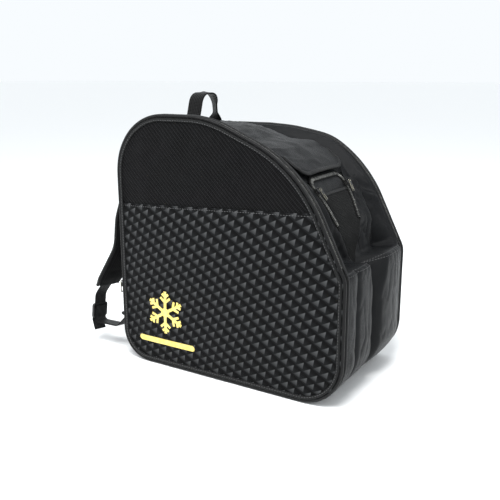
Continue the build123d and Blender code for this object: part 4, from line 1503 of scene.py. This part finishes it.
@dataclass
class Centre:
    """Top panel with its storm flap, front surround, U-shaped zip, door and knit pocket."""

    shape: BagShape
    finishes: Finishes
    skin: float = 1.4
    step: float = 3.5
    binding: float = 6.4
    pocket_head: float = 36.0
    pocket_stand: float = 3.2
    tooth_pitch: float = 2.6

    def cover_half(self, s: Points) -> Points:
        """Half width of the top panel and flap: round corners at the flap's edge."""
        shape = self.shape
        from_edge = np.clip(s - shape.edge_s, 0, shape.flap_corner)
        corner = shape.flap_corner - np.sqrt(shape.flap_corner**2 - (shape.flap_corner - from_edge) ** 2)
        widen = smooth(s, shape.seam_s - 4, shape.seam_s + 14)
        return shape.flap_half - corner + (shape.centre_half - shape.flap_half) * widen

    def cover_inset(self, s: Points, y: Points) -> Points:
        """How far the cover lies inside the outline: crowned, with a shallow dent over the flap."""
        shape = self.shape
        half = self.cover_half(s)
        crown = 2.5 * (1 - (np.abs(y) / np.maximum(half, 1.0)) ** 2.4)
        puff = 6.5 * smooth(shape.seam_s + 60 - s, 0.0, 50.0)
        end = smooth(shape.top_end - s, 0.0, 30.0)
        dent = 3.0 * np.exp(-(((s - shape.seam_s - 4) / 14) ** 2)) * (0.5 + 0.9 * ripple(s, y, 30.0, 12.0))
        waves = (
            2.2 * ripple(s, y, 40.0, 14.0) + 0.8 * ripple(s, y, 15.0, 15.0)
            - 1.2 * ridges(s, y * 0.4, 24.0, 16.0)
        )
        sunk = (
            shape.centre_drop + 0.5 - crown * end - puff + dent
            + waves * smooth(s, shape.edge_s, shape.edge_s + 14)
        )
        return shape.to_back(s, sunk)

    def cover(self) -> None:
        """Top panel and storm flap in one cloth, and its bound edge."""
        shape, outline = self.shape, self.shape.outline
        near = shape.edge_s + np.array([0.02, 0.3, 0.9, 1.8, 3.0])
        s = np.concatenate([near, np.arange(shape.edge_s + 4.5, shape.top_end + 4.0, self.step)])
        share = np.linspace(-1, 1, 61)
        y = self.cover_half(s)[:, None] * share
        ss = np.repeat(s[:, None], 61, 1)
        points = outline.place(ss, self.cover_inset(ss, y), y)
        sheet = cloth_sheet("top_cover", points, self.finishes.nylon, (0, 0, shape.height / 2), self.skin)
        seam = outline.place(shape.seam_s, shape.centre_drop, 0.0)
        ahead = unit(outline.place(shape.seam_s - 1, 0.0, 0.0) - outline.place(shape.seam_s + 1, 0.0, 0.0))
        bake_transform(sheet)
        dress(sheet, "nylon", "centre_top_panel", "storm_flap")
        edge_s = np.concatenate([s[s < shape.seam_s - 2][::-1], s[s < shape.seam_s - 2]])
        side = np.concatenate([np.ones(len(edge_s) // 2), -np.ones(len(edge_s) // 2)])
        y = self.cover_half(edge_s) * side
        line = outline.place(edge_s, self.cover_inset(edge_s, y) + 0.5, y)
        half = len(y) // 2
        front_y = np.linspace(y[half - 1], y[half], 40)[1:-1]
        front_s = np.full_like(front_y, shape.edge_s)
        front = outline.place(front_s, self.cover_inset(front_s, front_y) + 0.5, front_y)
        path = resample(np.concatenate([line[:half], front, line[half:]]), 2.5)
        up = outline.out(np.full(len(path), (shape.edge_s + shape.seam_s) / 2))
        across, out = frames(path, up)
        inner = unit(np.cross(np.gradient(path, axis=0), out))
        path = path + inner * (self.binding / 2 - 1.9)
        section = band_section(self.binding, 4.2, 6)
        edge = sweep("flap_edge_binding", path, across, out, section, self.finishes.binding)
        settle(edge, "storm_flap", "binding", "flap_binding")
        row = stitches("flap_stitches", path + inner * 1.2 + out * 1.6, up, self.finishes.thread, 3.6)
        settle(row, "storm_flap", "binding")

    def surround(self) -> None:
        """Fabric under the flap, above the zip."""
        shape, outline = self.shape, self.shape.outline
        head = shape.door_head + shape.chain + 0.4
        s_all = np.arange(shape.slope_start, shape.seam_s + 12, 0.5)
        start = float(s_all[np.argmin(np.abs(shape.slope_height(s_all) - head))])
        s = np.arange(start, shape.seam_s + 12, self.step)
        share = np.linspace(-1, 1, 41)
        y = shape.centre_edge(s)[:, None] * share
        ss = np.repeat(s[:, None], 41, 1)
        inset = shape.shell_drop + 0.4 + 0.5 * ripple(ss, y, 25.0, 17.0)
        points, middle = outline.place(ss, inset, y), (0, 0, shape.height / 2)
        sheet = cloth_sheet("front_surround_fabric", points, self.finishes.nylon, middle, 1.2)
        settle(sheet, "bag", "nylon", "front_surround")

    def door_half(self, h: Points) -> Points:
        """Half width of the front door, with its round upper corners."""
        shape = self.shape
        half = shape.door_foot_half + shape.lean * (h - shape.door_foot) - 0.4
        into = np.clip(shape.door_head - h, 0, shape.door_corner)
        corner = shape.door_corner - np.sqrt(shape.door_corner**2 - (shape.door_corner - into) ** 2)
        return half - corner

    def door(self) -> None:
        """The door's fabric: a full yoke over the pocket."""
        shape = self.shape
        h = np.concatenate(
            [
                np.arange(shape.door_foot + 0.4, shape.door_head - 4, 2.5),
                shape.door_head - np.array([3.0, 1.8, 0.9, 0.3, 0.02]),
            ]
        )
        share = np.linspace(-1, 1, 31)
        y = self.door_half(h)[:, None] * share
        hh = np.repeat(h[:, None], 31, 1)
        yoke = smooth(hh, self.pocket_head - 4, self.pocket_head + 8)
        yoke = yoke * (1 - share**4) * smooth(shape.door_head - hh, 0, 6)
        inset = shape.shell_drop + 0.2 - 1.8 * yoke - 1.0 * yoke * ripple(hh * 2.2, y, 16.0, 21.0)
        points = shape.on_slope(y, hh, inset)
        sheet = cloth_sheet("front_door_fabric", points, self.finishes.nylon, (0, 0, 150.0), 1.2)
        settle(sheet, "front_door", "nylon", "front_door")

    def pocket(self) -> None:
        """Knit pocket on the door, in one cloth with the gore below the zip, and its bound edge."""
        shape = self.shape
        crease_h = shape.crease_h() + 3
        foot = float(shape.leg_half(shape.door_foot)) + shape.chain / 2
        marks = [crease_h, shape.door_foot - 2.5, shape.door_foot + 1.0, self.pocket_head]
        head = float(self.door_half(np.array(self.pocket_head)))
        halves = [1.5, foot + 0.5, shape.door_foot_half - 1.0, head - 1.2]
        h = np.arange(crease_h, self.pocket_head, 2.5)
        half = np.interp(h, marks, halves)
        share = np.linspace(-1, 1, 31)
        y = half[:, None] * share
        hh = np.repeat(h[:, None], 31, 1)
        stand = self.pocket_stand * smooth(hh, shape.door_foot - 6, shape.door_foot + 12)
        stand = stand * (1 - np.abs(share) ** 5)
        sag = 0.6 * ripple(hh, y, 22.0, 25.0)
        inset = shape.shell_drop - 0.2 - stand + sag * (1 - np.abs(share) ** 3) + shape.extra_drop(hh)
        points = shape.on_slope(y, hh, inset)
        sheet = cloth_sheet("knit_pocket", points, self.finishes.knit, (0, 0, 150.0), 1.0)
        low = shape.on_slope(0.0, shape.door_foot - 2.0, shape.shell_drop) * MM
        high = shape.on_slope(0.0, shape.door_foot + 3.0, shape.shell_drop) * MM
        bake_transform(sheet)
        dress(sheet, "knit", "mesh_pocket")
        edge_y = half[-1] * share * 1.02
        path = shape.on_slope(edge_y, self.pocket_head, inset[-1] - 0.3)
        across, out = frames(path, shape.slope_out)
        section = band_section(4.6, 2.4, 5)
        edge = sweep("pocket_edge_binding", path, across, out, section, self.finishes.binding)
        settle(edge, "front_door", "binding", "pocket_binding")

    def zip_line(self, shift: float) -> Points:
        """The zip's line up one leg, over the top and down the other, moved outwards by a shift."""
        shape = self.shape
        middle = shape.chain / 2 + shift
        head = shape.door_head + middle
        foot_half = float(shape.leg_half(shape.door_foot)) + shift
        head_half = float(shape.leg_half(head)) + shift
        radius = shape.door_corner + middle
        foot = shape.door_foot
        flat = rounded(
            [(-foot_half, foot), (-head_half, head), (head_half, head), (foot_half, foot)], [radius] * 2, 2.0
        )
        return flat

    def zip(self) -> None:
        """Two tapes and two rows of teeth; the inner ones go with the door."""
        shape = self.shape
        for label, body, shift, nodes in (
            ("front_zip_outer", "bag", 2.6, ("front_zip_chain",)),
            ("front_zip_inner", "front_door", -2.6, ()),
        ):
            flat = self.zip_line(shift)
            path = shape.on_slope(flat[:, 0], flat[:, 1], shape.shell_drop - 0.6)
            above = shape.on_slope(flat[:, 0], flat[:, 1], shape.shell_drop - 1.0)
            across, out = frames(path, unit(above - path))
            tape = sweep(label + "_tape", path, across, out, band_section(5.0, 1.2), self.finishes.tape)
            settle(tape, body, "zip", *nodes)
            flat = self.zip_line(shift * 0.34)
            line = shape.on_slope(flat[:, 0], flat[:, 1], shape.shell_drop - 1.3)
            start = 0.0 if shift > 0 else self.tooth_pitch / 2
            origins, axes = along_path(line, shape.slope_out, self.tooth_pitch, start)
            turned = axes[:, (1, 0, 2)].copy()
            turned[:, 1] *= -1
            points, faces = bead(3.4, 1.5, 1.5)
            settle(scatter(label + "_teeth", points, faces, origins, turned, self.finishes.coil), body, "zip")

    def build(self) -> None:
        """Make the centre."""
        self.surround()
        self.cover()
        self.door()
        self.pocket()
        self.zip()


# ---- fittings ------------------------------------------------------------------------------------


def plate(name: str, size: tuple[float, float, float], slots: Sequence, corner: float) -> bpy.types.Object:
    """Flat plate with round corners and slots right through it, centred on the origin.

    Args:
        name: piece's name.
        size: width, length and thickness, mm.
        slots: for each slot its lowest and highest X and Y, mm.
        corner: radius of the corners.

    Returns:
        The plate, its thickness upwards from Z 0.
    """
    width, length, thickness = (value * MM for value in size)
    bpy.ops.object.select_all(action="DESELECT")
    bpy.ops.mesh.primitive_plane_add(size=1.0)
    piece = bpy.context.active_object
    piece.name = name
    piece.data.name = name
    bpy.ops.object.mode_set(mode="EDIT")
    bpy.ops.transform.resize(value=(width, length, 1.0))
    bpy.ops.mesh.bevel(offset=corner * MM, segments=4, affect="VERTICES")
    for low_x, high_x, low_y, high_y in slots:
        along_x, along_y = (1, 0, 0), (0, 1, 0)
        for value, normal in ((low_x, along_x), (high_x, along_x), (low_y, along_y), (high_y, along_y)):
            bpy.ops.mesh.select_all(action="SELECT")
            point = tuple(value * MM * n for n in normal)
            bpy.ops.mesh.bisect(plane_co=point, plane_no=normal)
    work = bmesh.from_edit_mesh(piece.data)
    for face in work.faces:
        centre = face.calc_center_median() / MM
        inside = [a < centre.x < b and c < centre.y < d for a, b, c, d in slots]
        face.select_set(any(inside))
    bmesh.update_edit_mesh(piece.data)
    bpy.ops.mesh.delete(type="FACE")
    bpy.ops.mesh.select_all(action="SELECT")
    bpy.ops.mesh.extrude_region_move(TRANSFORM_OT_translate={"value": (0.0, 0.0, thickness)})
    bpy.ops.mesh.select_all(action="SELECT")
    bpy.ops.mesh.normals_make_consistent(inside=False)
    bpy.ops.object.mode_set(mode="OBJECT")
    soft = piece.modifiers.new("edge", "BEVEL")
    soft.width = min(0.35 * MM, thickness * 0.3)
    soft.segments = 2
    soft.limit_method = "ANGLE"
    apply_all(piece)
    return piece


def block(
    name: str, size: tuple[float, float, float], at: tuple[float, float, float], bevel: float
) -> bpy.types.Object:
    """Block with round edges.

    Args:
        name: piece's name.
        size: its size along each axis, mm.
        at: its middle, mm.
        bevel: radius of its edges, mm.

    Returns:
        The block.
    """
    bpy.ops.object.select_all(action="DESELECT")
    bpy.ops.mesh.primitive_cube_add(size=1.0)
    piece = bpy.context.active_object
    piece.name = name
    bpy.ops.object.mode_set(mode="EDIT")
    bpy.ops.transform.resize(value=tuple(value * MM for value in size))
    bpy.ops.transform.translate(value=tuple(value * MM for value in at))
    bpy.ops.mesh.bevel(offset=bevel * MM, segments=3, affect="EDGES")
    bpy.ops.object.mode_set(mode="OBJECT")
    return piece


def join(name: str, parts: list[bpy.types.Object]) -> bpy.types.Object:
    """Several parts as one piece."""
    bpy.ops.object.select_all(action="DESELECT")
    for part in parts:
        part.select_set(True)
    bpy.context.view_layer.objects.active = parts[0]
    bpy.ops.object.join()
    parts[0].name = name
    parts[0].data.name = name
    return parts[0]


def stand(piece: bpy.types.Object, origin, x_axis, z_axis) -> None:
    """Move a piece's mesh from its own axes to a place in the frame.

    Args:
        piece: the piece.
        origin: where its origin goes, mm.
        x_axis: direction of its X.
        z_axis: direction of its Z.
    """
    x_axis = unit(np.asarray(x_axis, float))
    z_axis = unit(np.asarray(z_axis, float))
    y_axis = np.cross(z_axis, x_axis)
    turn = Matrix(np.stack([x_axis, y_axis, z_axis], 1).tolist()).to_4x4()
    piece.data.transform(Matrix.Translation(Vector(np.asarray(origin, float) * MM)) @ turn)
    piece.data.update()


@dataclass
class Slider:
    """One zip slider and its pull, on a plane whose X is across the zip and Y up it."""

    finishes: Finishes
    name: str
    origin: Sequence[float]
    x_axis: Sequence[float]
    z_axis: Sequence[float]
    width: float = 6.4
    length: float = 10.0
    height: float = 5.0
    pull_length: float = 19.0
    pull_width: float = 6.0
    pull_thickness: float = 1.4
    pull_gap: float = 0.5

    def body(self) -> bpy.types.Object:
        """Two wings with a channel between them, and the bridge that holds the pull."""
        low = block("lower_wing", (self.width, self.length, 0.9), (0, 0, 0.45), 0.3)
        high = block("upper_wing", (self.width, self.length * 0.94, 1.0), (0, 0, 2.5), 0.4)
        reach = self.length * 0.32
        post = block("post", (1.6, 2.4, 2.2), (0, reach, 1.5), 0.2)
        feet = [block("foot", (1.7, 1.4, 2.0), (0, y, 3.7), 0.3) for y in (-reach, reach)]
        bridge = block("bridge", (1.7, self.length * 0.72, 0.7), (0, 0, self.height - 0.35), 0.25)
        piece = join(f"{self.name}_slider_body", [low, high, post, *feet, bridge])
        piece.data.materials.append(self.finishes.zinc)
        stand(piece, self.origin, self.x_axis, self.z_axis)
        return piece

    def pull(self) -> bpy.types.Object:
        """Flat pull with a slot, bare metal round its edge, and the eye at the bridge."""
        half = self.pull_length / 2
        slot = (-1.5, 1.5, -half + 1.6, -half + 9.0)
        eye = (-1.2, 1.2, half - 3.6, half - 1.2)
        plate_piece = plate(
            f"{self.name}_pull_tag",
            (self.pull_width, self.pull_length, self.pull_thickness),
            (slot, eye),
            1.8,
        )
        plate_piece.data.materials.append(self.finishes.zinc)
        plate_piece.data.materials.append(self.finishes.rim)
        for face in plate_piece.data.polygons:
            if abs(face.normal.z) < 0.9:
                face.material_index = 1
        middle = self.length / 4 - half
        base = Matrix.Translation(Vector((0.0, middle, self.height + self.pull_gap)) * MM)
        plate_piece.data.transform(base)
        stand(plate_piece, self.origin, self.x_axis, self.z_axis)
        return plate_piece

    def build(self, slider_body: str, pull_body: str, slider_node: str, pull_node: str) -> None:
        """Make the slider and its pull, each on its own body."""
        settle(self.body(), slider_body, "zip_metal", slider_node)
        settle(self.pull(), pull_body, "zip_metal", pull_node)


@dataclass
class Sliders:
    """The four sliders of the bag."""

    shape: BagShape
    finishes: Finishes
    front_height: float = 43.3
    front_lift: float = 2.4

    def build(self) -> None:
        """Make a side slider and a front slider on each side."""
        shape = self.shape
        for side in Side:
            name = side.name_of
            low, high = box_of(name("zip_slider"))
            middle = (low + high) / 2
            at_side = Slider(self.finishes, name("side"), (high.x, middle.y, middle.z), -Y_AXIS, -X_AXIS)
            at_side.build(name("side_slider"), name("side_pull"), name("zip_slider"), name("zip_pull"))
            heights = np.array([self.front_height, shape.door_foot])
            ends = shape.on_slope(side.value * shape.leg_half(heights), heights, shape.shell_drop)
            down = unit(ends[1] - ends[0])
            across = unit(Y_AXIS - down * down[1])
            out = np.cross(across, -down)
            front = Slider(self.finishes, name("front"), ends[0] + out * self.front_lift, across, out)
            nodes = name("front_slider"), name("front_pull")
            front.build(*nodes, *nodes)


@dataclass
class CarryHandle:
    """Webbing loop on the top, its far leg twisted, sewn down over a patch."""

    shape: BagShape
    finishes: Finishes
    width: float = 25.0
    thickness: float = 2.4
    half: float = 30.0
    top_half: float = 21.0
    top_radius: float = 17.0
    twist: float = 42.0  # degrees, part of the way down the far leg

    def build(self) -> None:
        """Make the patch and the loop."""
        low, high = box_of("carry_handle")
        patch_low, patch_high = box_of("handle_patch")
        x = (low.x + high.x) / 2
        top = high.z - 6.0
        foot = low.z + 1.5
        corners = [(-self.half, foot), (-self.top_half, top), (self.top_half, top), (self.half, foot)]
        flat = rounded(corners, [self.top_radius] * 2, 2.0)
        path = np.stack([np.full(len(flat), x), flat[:, 0], flat[:, 1]], 1)
        share = lengths(path) / lengths(path)[-1]
        sway = np.sin(math.pi * share)
        path[:, 0] += 2.5 * sway
        path[:, 1] += 2.0 * smooth(share, 0.45, 0.8) * (1 - smooth(share, 0.85, 1.0))
        ahead = unit(np.gradient(path, axis=0))
        across = unit(X_AXIS - ahead * ahead[:, :1])
        out = np.cross(ahead, across)
        turn = np.radians(self.twist) * smooth(share, 0.5, 0.8) * (1 - smooth(share, 0.86, 0.99))
        turned = across * np.cos(turn)[:, None] + out * np.sin(turn)[:, None]
        out = np.cross(ahead, turned)
        section = band_section(self.width, self.thickness, 5)
        loop = sweep("carry_loop", path, turned, out, section, self.finishes.webbing)
        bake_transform(loop)
        dress(loop, "webbing", "carry_handle")
        size = (patch_high.x - patch_low.x, patch_high.y - patch_low.y, patch_high.z - patch_low.z - 0.4)
        patch = plate("carry_patch", size, (), 4.0)
        patch.data.transform(Matrix.Translation(Vector((x, 0, patch_low.z - 0.6)) * MM))
        patch.data.materials.append(self.finishes.webbing)
        uv = patch.data.uv_layers.new(name=CLOTH_UV)
        for polygon in patch.data.polygons:
            for loop_index in polygon.loop_indices:
                place = patch.data.vertices[patch.data.loops[loop_index].vertex_index].co / MM
                uv.data[loop_index].uv = (place.y, place.x)
        settle(patch, "bag", "webbing", "handle_patch")


@dataclass
class ShoulderStrap:
    """One padded shoulder strap with its webbing, ladder-lock buckle and sewn ends."""

    shape: BagShape
    finishes: Finishes
    side: Side
    stand_off: float = 13.0
    foot: tuple[float, float] = (81.0, 58.0)  # distance from the middle and height of the lower end
    head: tuple[float, float] = (50.0, 276.0)
    pad_width: float = 54.0
    pad_thickness: float = 12.0
    webbing: float = 25.0
    pad_back: float = -15.0
    pad_end: tuple[float, float] = (-52.0, 42.0)
    pad_foot: float = 92.0
    end_width: float = 28.0  # of the pad's narrow ends and of the sewn tabs
    buckle_back: float = -66.0
    buckle_top: float = 8.0
    buckle_size: tuple[float, float, float] = (32.0, 24.0, 5.0)

    def __post_init__(self) -> None:
        """Find the line that the strap swings about."""
        x = self.shape.back_x - self.stand_off
        self.origin = np.array([x, self.side.value * self.foot[0], self.foot[1]])
        end = np.array([x, self.side.value * self.head[0], self.head[1]])
        self.run = float(np.linalg.norm(end - self.origin))
        self.up = unit(end - self.origin)
        self.wide = np.cross(X_AXIS, self.up)

    def place(self, back, height) -> Points:
        """Points in the strap's side view: how far forward, and how high along the swing line."""
        back, height = np.broadcast_arrays(np.asarray(back, float), np.asarray(height, float))
        return self.origin + back[..., None] * X_AXIS + height[..., None] * self.up

    def band(self, label: str, line: Points, width: float, thickness: float, edge: int) -> bpy.types.Object:
        """Flat webbing along a line in the side view."""
        path = self.place(line[:, 0], line[:, 1])
        out = np.cross(unit(np.gradient(path, axis=0)), self.wide)
        section = band_section(width, thickness, edge)
        return sweep(self.side.name_of(label), path, self.wide, out, section, self.finishes.webbing)

    @property
    def body(self) -> str:
        """Body of this strap."""
        return self.side.name_of("strap")

    def pad(self) -> None:
        """Foam pad: full in the middle, thin at its bound edges, tapering to the neck."""
        top = self.run - 4.0
        line = rounded(
            [
                (0.0, top),
                (-4.0, top - 16),
                (self.pad_back, top - 60),
                (self.pad_back, self.pad_foot + 18),
                self.pad_end,
            ],
            [20.0, 60.0, 50.0],
            3.0,
        )
        path = self.place(line[:, 0], line[:, 1])
        along = lengths(path)
        total = along[-1]
        widen = smooth(along, 6.0, 26.0) * (0.74 + 0.26 * smooth(total - along, 0.0, 16.0))
        width = self.end_width + (self.pad_width - self.end_width) * widen
        swell = smooth(along, 8.0, 34.0) * smooth(total - along, -4.0, 20.0)
        thick = 6.0 + (self.pad_thickness + 1.0 - 6.0) * swell
        turns = np.linspace(0, math.tau, 28, endpoint=False)
        cosine, sine = np.cos(turns), np.sin(turns)
        shape_x = np.sign(cosine) * np.abs(cosine) ** 0.7
        shape_y = np.sign(sine) * np.abs(sine) ** 0.9
        seam = np.exp(-((((along[:, None] / 34.0) % 1) - 0.5) ** 2) / 0.006)
        quilting = 1 - 0.16 * seam * np.abs(sine[None]) ** 3
        section = np.stack([width[:, None] / 2 * shape_x, thick[:, None] / 2 * shape_y * quilting], -1)
        ahead = unit(np.gradient(path, axis=0))
        out = np.cross(ahead, self.wide)
        piece = sweep(self.side.name_of("shoulder_pad"), path, self.wide, out, section, self.finishes.spacer)
        settle(piece, self.body, "back_mesh", self.side.name_of("strap_pad"))
        for number, sign in enumerate((-1, 1)):
            edge = path + self.wide * (width / 2 * 0.985)[:, None] * sign
            across, up = frames(edge, out)
            label = self.side.name_of(f"pad_binding_{number + 1}")
            tape = sweep(label, edge, across, up, ring_section(2.6, 10, 1.15), self.finishes.binding)
            settle(tape, self.body, "binding")

    def straps(self) -> None:
        """Webbing from the pad to the buckle, and from the buckle to the corner."""
        back, top = self.buckle_back, self.buckle_top
        foot = top - self.buckle_size[1]
        end_x, end_z = self.pad_end
        lines = (
            ([(end_x + 5, end_z + 10), (back, top + 16), (back, top - 9)], [16.0]),
            ([(back + 2.2, top - 4), (back, foot - 6), (-16.0, -21.0), (0.0, -3.0)], [8.0, 14.0]),
            ([(back - 2.6, top - 8), (back - 4.0, foot - 4), (back + 3, foot - 20)], [10.0]),
        )
        for number, (corners, radii) in enumerate(lines):
            line = rounded(corners, radii, 2.5)
            piece = self.band(f"webbing_{number + 1}", line, self.webbing, 2.2, 5)
            nodes = (self.side.name_of("strap_webbing"),) if number == 0 else ()
            settle(piece, self.body, "webbing", *nodes)

    def buckle(self) -> None:
        """Ladder-lock buckle: a frame with two slots and a bar across it."""
        width, length, thickness = self.buckle_size
        half_w, half_l = width / 2 - 3.0, length / 2
        slots = (
            (-half_w, half_w, -half_l + 3.0, -1.8),
            (-half_w, half_w, 1.8, half_l - 3.0),
        )
        piece = plate(self.side.name_of("ladder_lock"), (width, length, thickness * 0.8), slots, 4.0)
        ridge = block("ridge", (width * 0.7, 2.2, 1.6), (0, half_l - 1.6, thickness * 0.8), 0.6)
        piece = join(self.side.name_of("ladder_lock"), [piece, ridge])
        piece.data.materials.append(self.finishes.acetal)
        centre = self.place(self.buckle_back + 1.5, self.buckle_top - length / 2)
        stand(piece, centre, self.wide * -1, -X_AXIS)
        settle(piece, self.body, "buckle", self.side.name_of("strap_buckle"))

    def ends(self) -> None:
        """Folded webbing tabs sewn to the back panel at both ends."""
        tabs = ("upper_tab", "strap_anchor", self.run), ("lower_tab", "corner_tab", 0.0)
        for label, node, height in tabs:
            low, high = height + 1.5, height + 4.6
            corners = [(self.stand_off, low), (-6.0, low), (-6.0, high), (self.stand_off, high)]
            piece = self.band(label, rounded(corners, [1.4, 1.4], 1.2), self.end_width, 2.4, 4)
            settle(piece, "bag", "webbing", self.side.name_of(node))

    def build(self) -> None:
        """Make the strap."""
        self.pad()
        self.straps()
        self.buckle()
        self.ends()


@dataclass
class Motif:
    """Gold ice crystal and bar, laid on the left printed panel."""

    shape: BagShape
    finishes: Finishes
    cell: float = 6.0

    def build(self) -> None:
        """Lay a copy of each frame node on the curved cloth."""
        for node in ("motif_crystal", "motif_bar"):
            bpy.ops.object.select_all(action="DESELECT")
            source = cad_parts[node]
            mesh = source.data.copy()
            piece = bpy.data.objects.new(node + "_foil", mesh)
            bpy.context.scene.collection.objects.link(piece)
            mesh.materials.clear()
            mesh.materials.append(self.finishes.foil)
            only(piece)
            bpy.ops.object.mode_set(mode="EDIT")
            bpy.ops.mesh.select_all(action="SELECT")
            bpy.ops.mesh.remove_doubles(threshold=0.01 * MM)
            low, high = box_of(node)
            for axis, normal in ((0, (1, 0, 0)), (2, (0, 0, 1))):
                for value in np.arange(low[axis] + self.cell, high[axis], self.cell):
                    bpy.ops.mesh.select_all(action="SELECT")
                    bpy.ops.mesh.bisect(plane_co=tuple(value * MM * n for n in normal), plane_no=normal)
            bpy.ops.object.mode_set(mode="OBJECT")
            for vertex in mesh.vertices:
                place = vertex.co / MM
                face = float(self.shape.face_y(np.array(place.x), np.array(place.z)))
                vertex.co.y = -(face + (-place.y - self.shape.face) * 0.8 - 0.05) * MM
            mesh.update()
            settle(piece, "bag", "gold_foil", node)


# ---- studio --------------------------------------------------------------------------------------


@dataclass
class Studio:
    """Pale floor, soft lights and the camera."""

    camera_at: tuple[float, float, float] = (0.5072, -0.863, 0.4312)
    looking: tuple[float, float, float] = (-0.506, 0.8291, -0.2377)
    lens: float = 48.53
    shift: tuple[float, float] = (-0.0012, -0.0153)

    def light(self, name: str, at: tuple, power: float, size: float) -> None:
        """Large soft light aimed at the bag."""
        lamp = bpy.data.lights.new(name, "AREA")
        lamp.energy = power
        lamp.size = size
        holder = bpy.data.objects.new(name, lamp)
        holder.location = at
        holder.rotation_euler = (Vector((0, 0, 0.2)) - Vector(at)).to_track_quat("-Z", "Y").to_euler()
        bpy.context.scene.collection.objects.link(holder)

    def build(self) -> None:
        """Set up the floor, lights and camera."""
        bpy.ops.object.select_all(action="DESELECT")
        bpy.ops.mesh.primitive_plane_add(size=120.0, location=(0, 0, -0.0004))
        floor = bpy.context.active_object
        floor.name = "floor"
        graph = Graph("pale_floor")
        graph.feed(graph.shader, {"Base Color": linear("fbfcfc"), "Roughness": 0.9})
        floor.data.materials.append(graph.material)
        world = bpy.data.worlds.new("soft_room")
        world.use_nodes = True
        world.node_tree.nodes["Background"].inputs["Color"].default_value = linear("f8fcff")
        world.node_tree.nodes["Background"].inputs["Strength"].default_value = 1.0
        bpy.context.scene.world = world
        self.light("key", (0.35, -0.9, 1.9), 44.0, 0.8)
        self.light("fill", (-0.95, -1.1, 0.9), 5.0, 0.6)
        self.light("front", (1.9, 0.9, 1.2), 3.0, 0.7)
        camera = bpy.data.cameras.new("camera")
        camera.lens = self.lens
        camera.sensor_width = 36.0
        camera.shift_x, camera.shift_y = self.shift
        camera.clip_end = 100.0
        holder = bpy.data.objects.new("camera", camera)
        holder.location = self.camera_at
        holder.rotation_euler = Vector(self.looking).to_track_quat("-Z", "Y").to_euler()
        bpy.context.scene.collection.objects.link(holder)
        bpy.context.scene.camera = holder
        bpy.context.scene.view_settings.view_transform = "Standard"


def main() -> None:
    """Build every sub-assembly in order."""
    logging.basicConfig(level=logging.INFO, format="%(message)s")
    Studio().build()
    finishes = Finishes()
    shape = BagShape()
    for side in Side:
        SidePanel(shape, finishes, side).build()
        Gusset(shape, finishes, side).build()
    Inside(shape, finishes).build()
    BaseAndBack(shape, finishes).build()
    Centre(shape, finishes).build()
    Sliders(shape, finishes).build()
    CarryHandle(shape, finishes).build()
    for side in Side:
        ShoulderStrap(shape, finishes, side).build()
    Motif(shape, finishes).build()


if __name__ == "__main__":
    main()
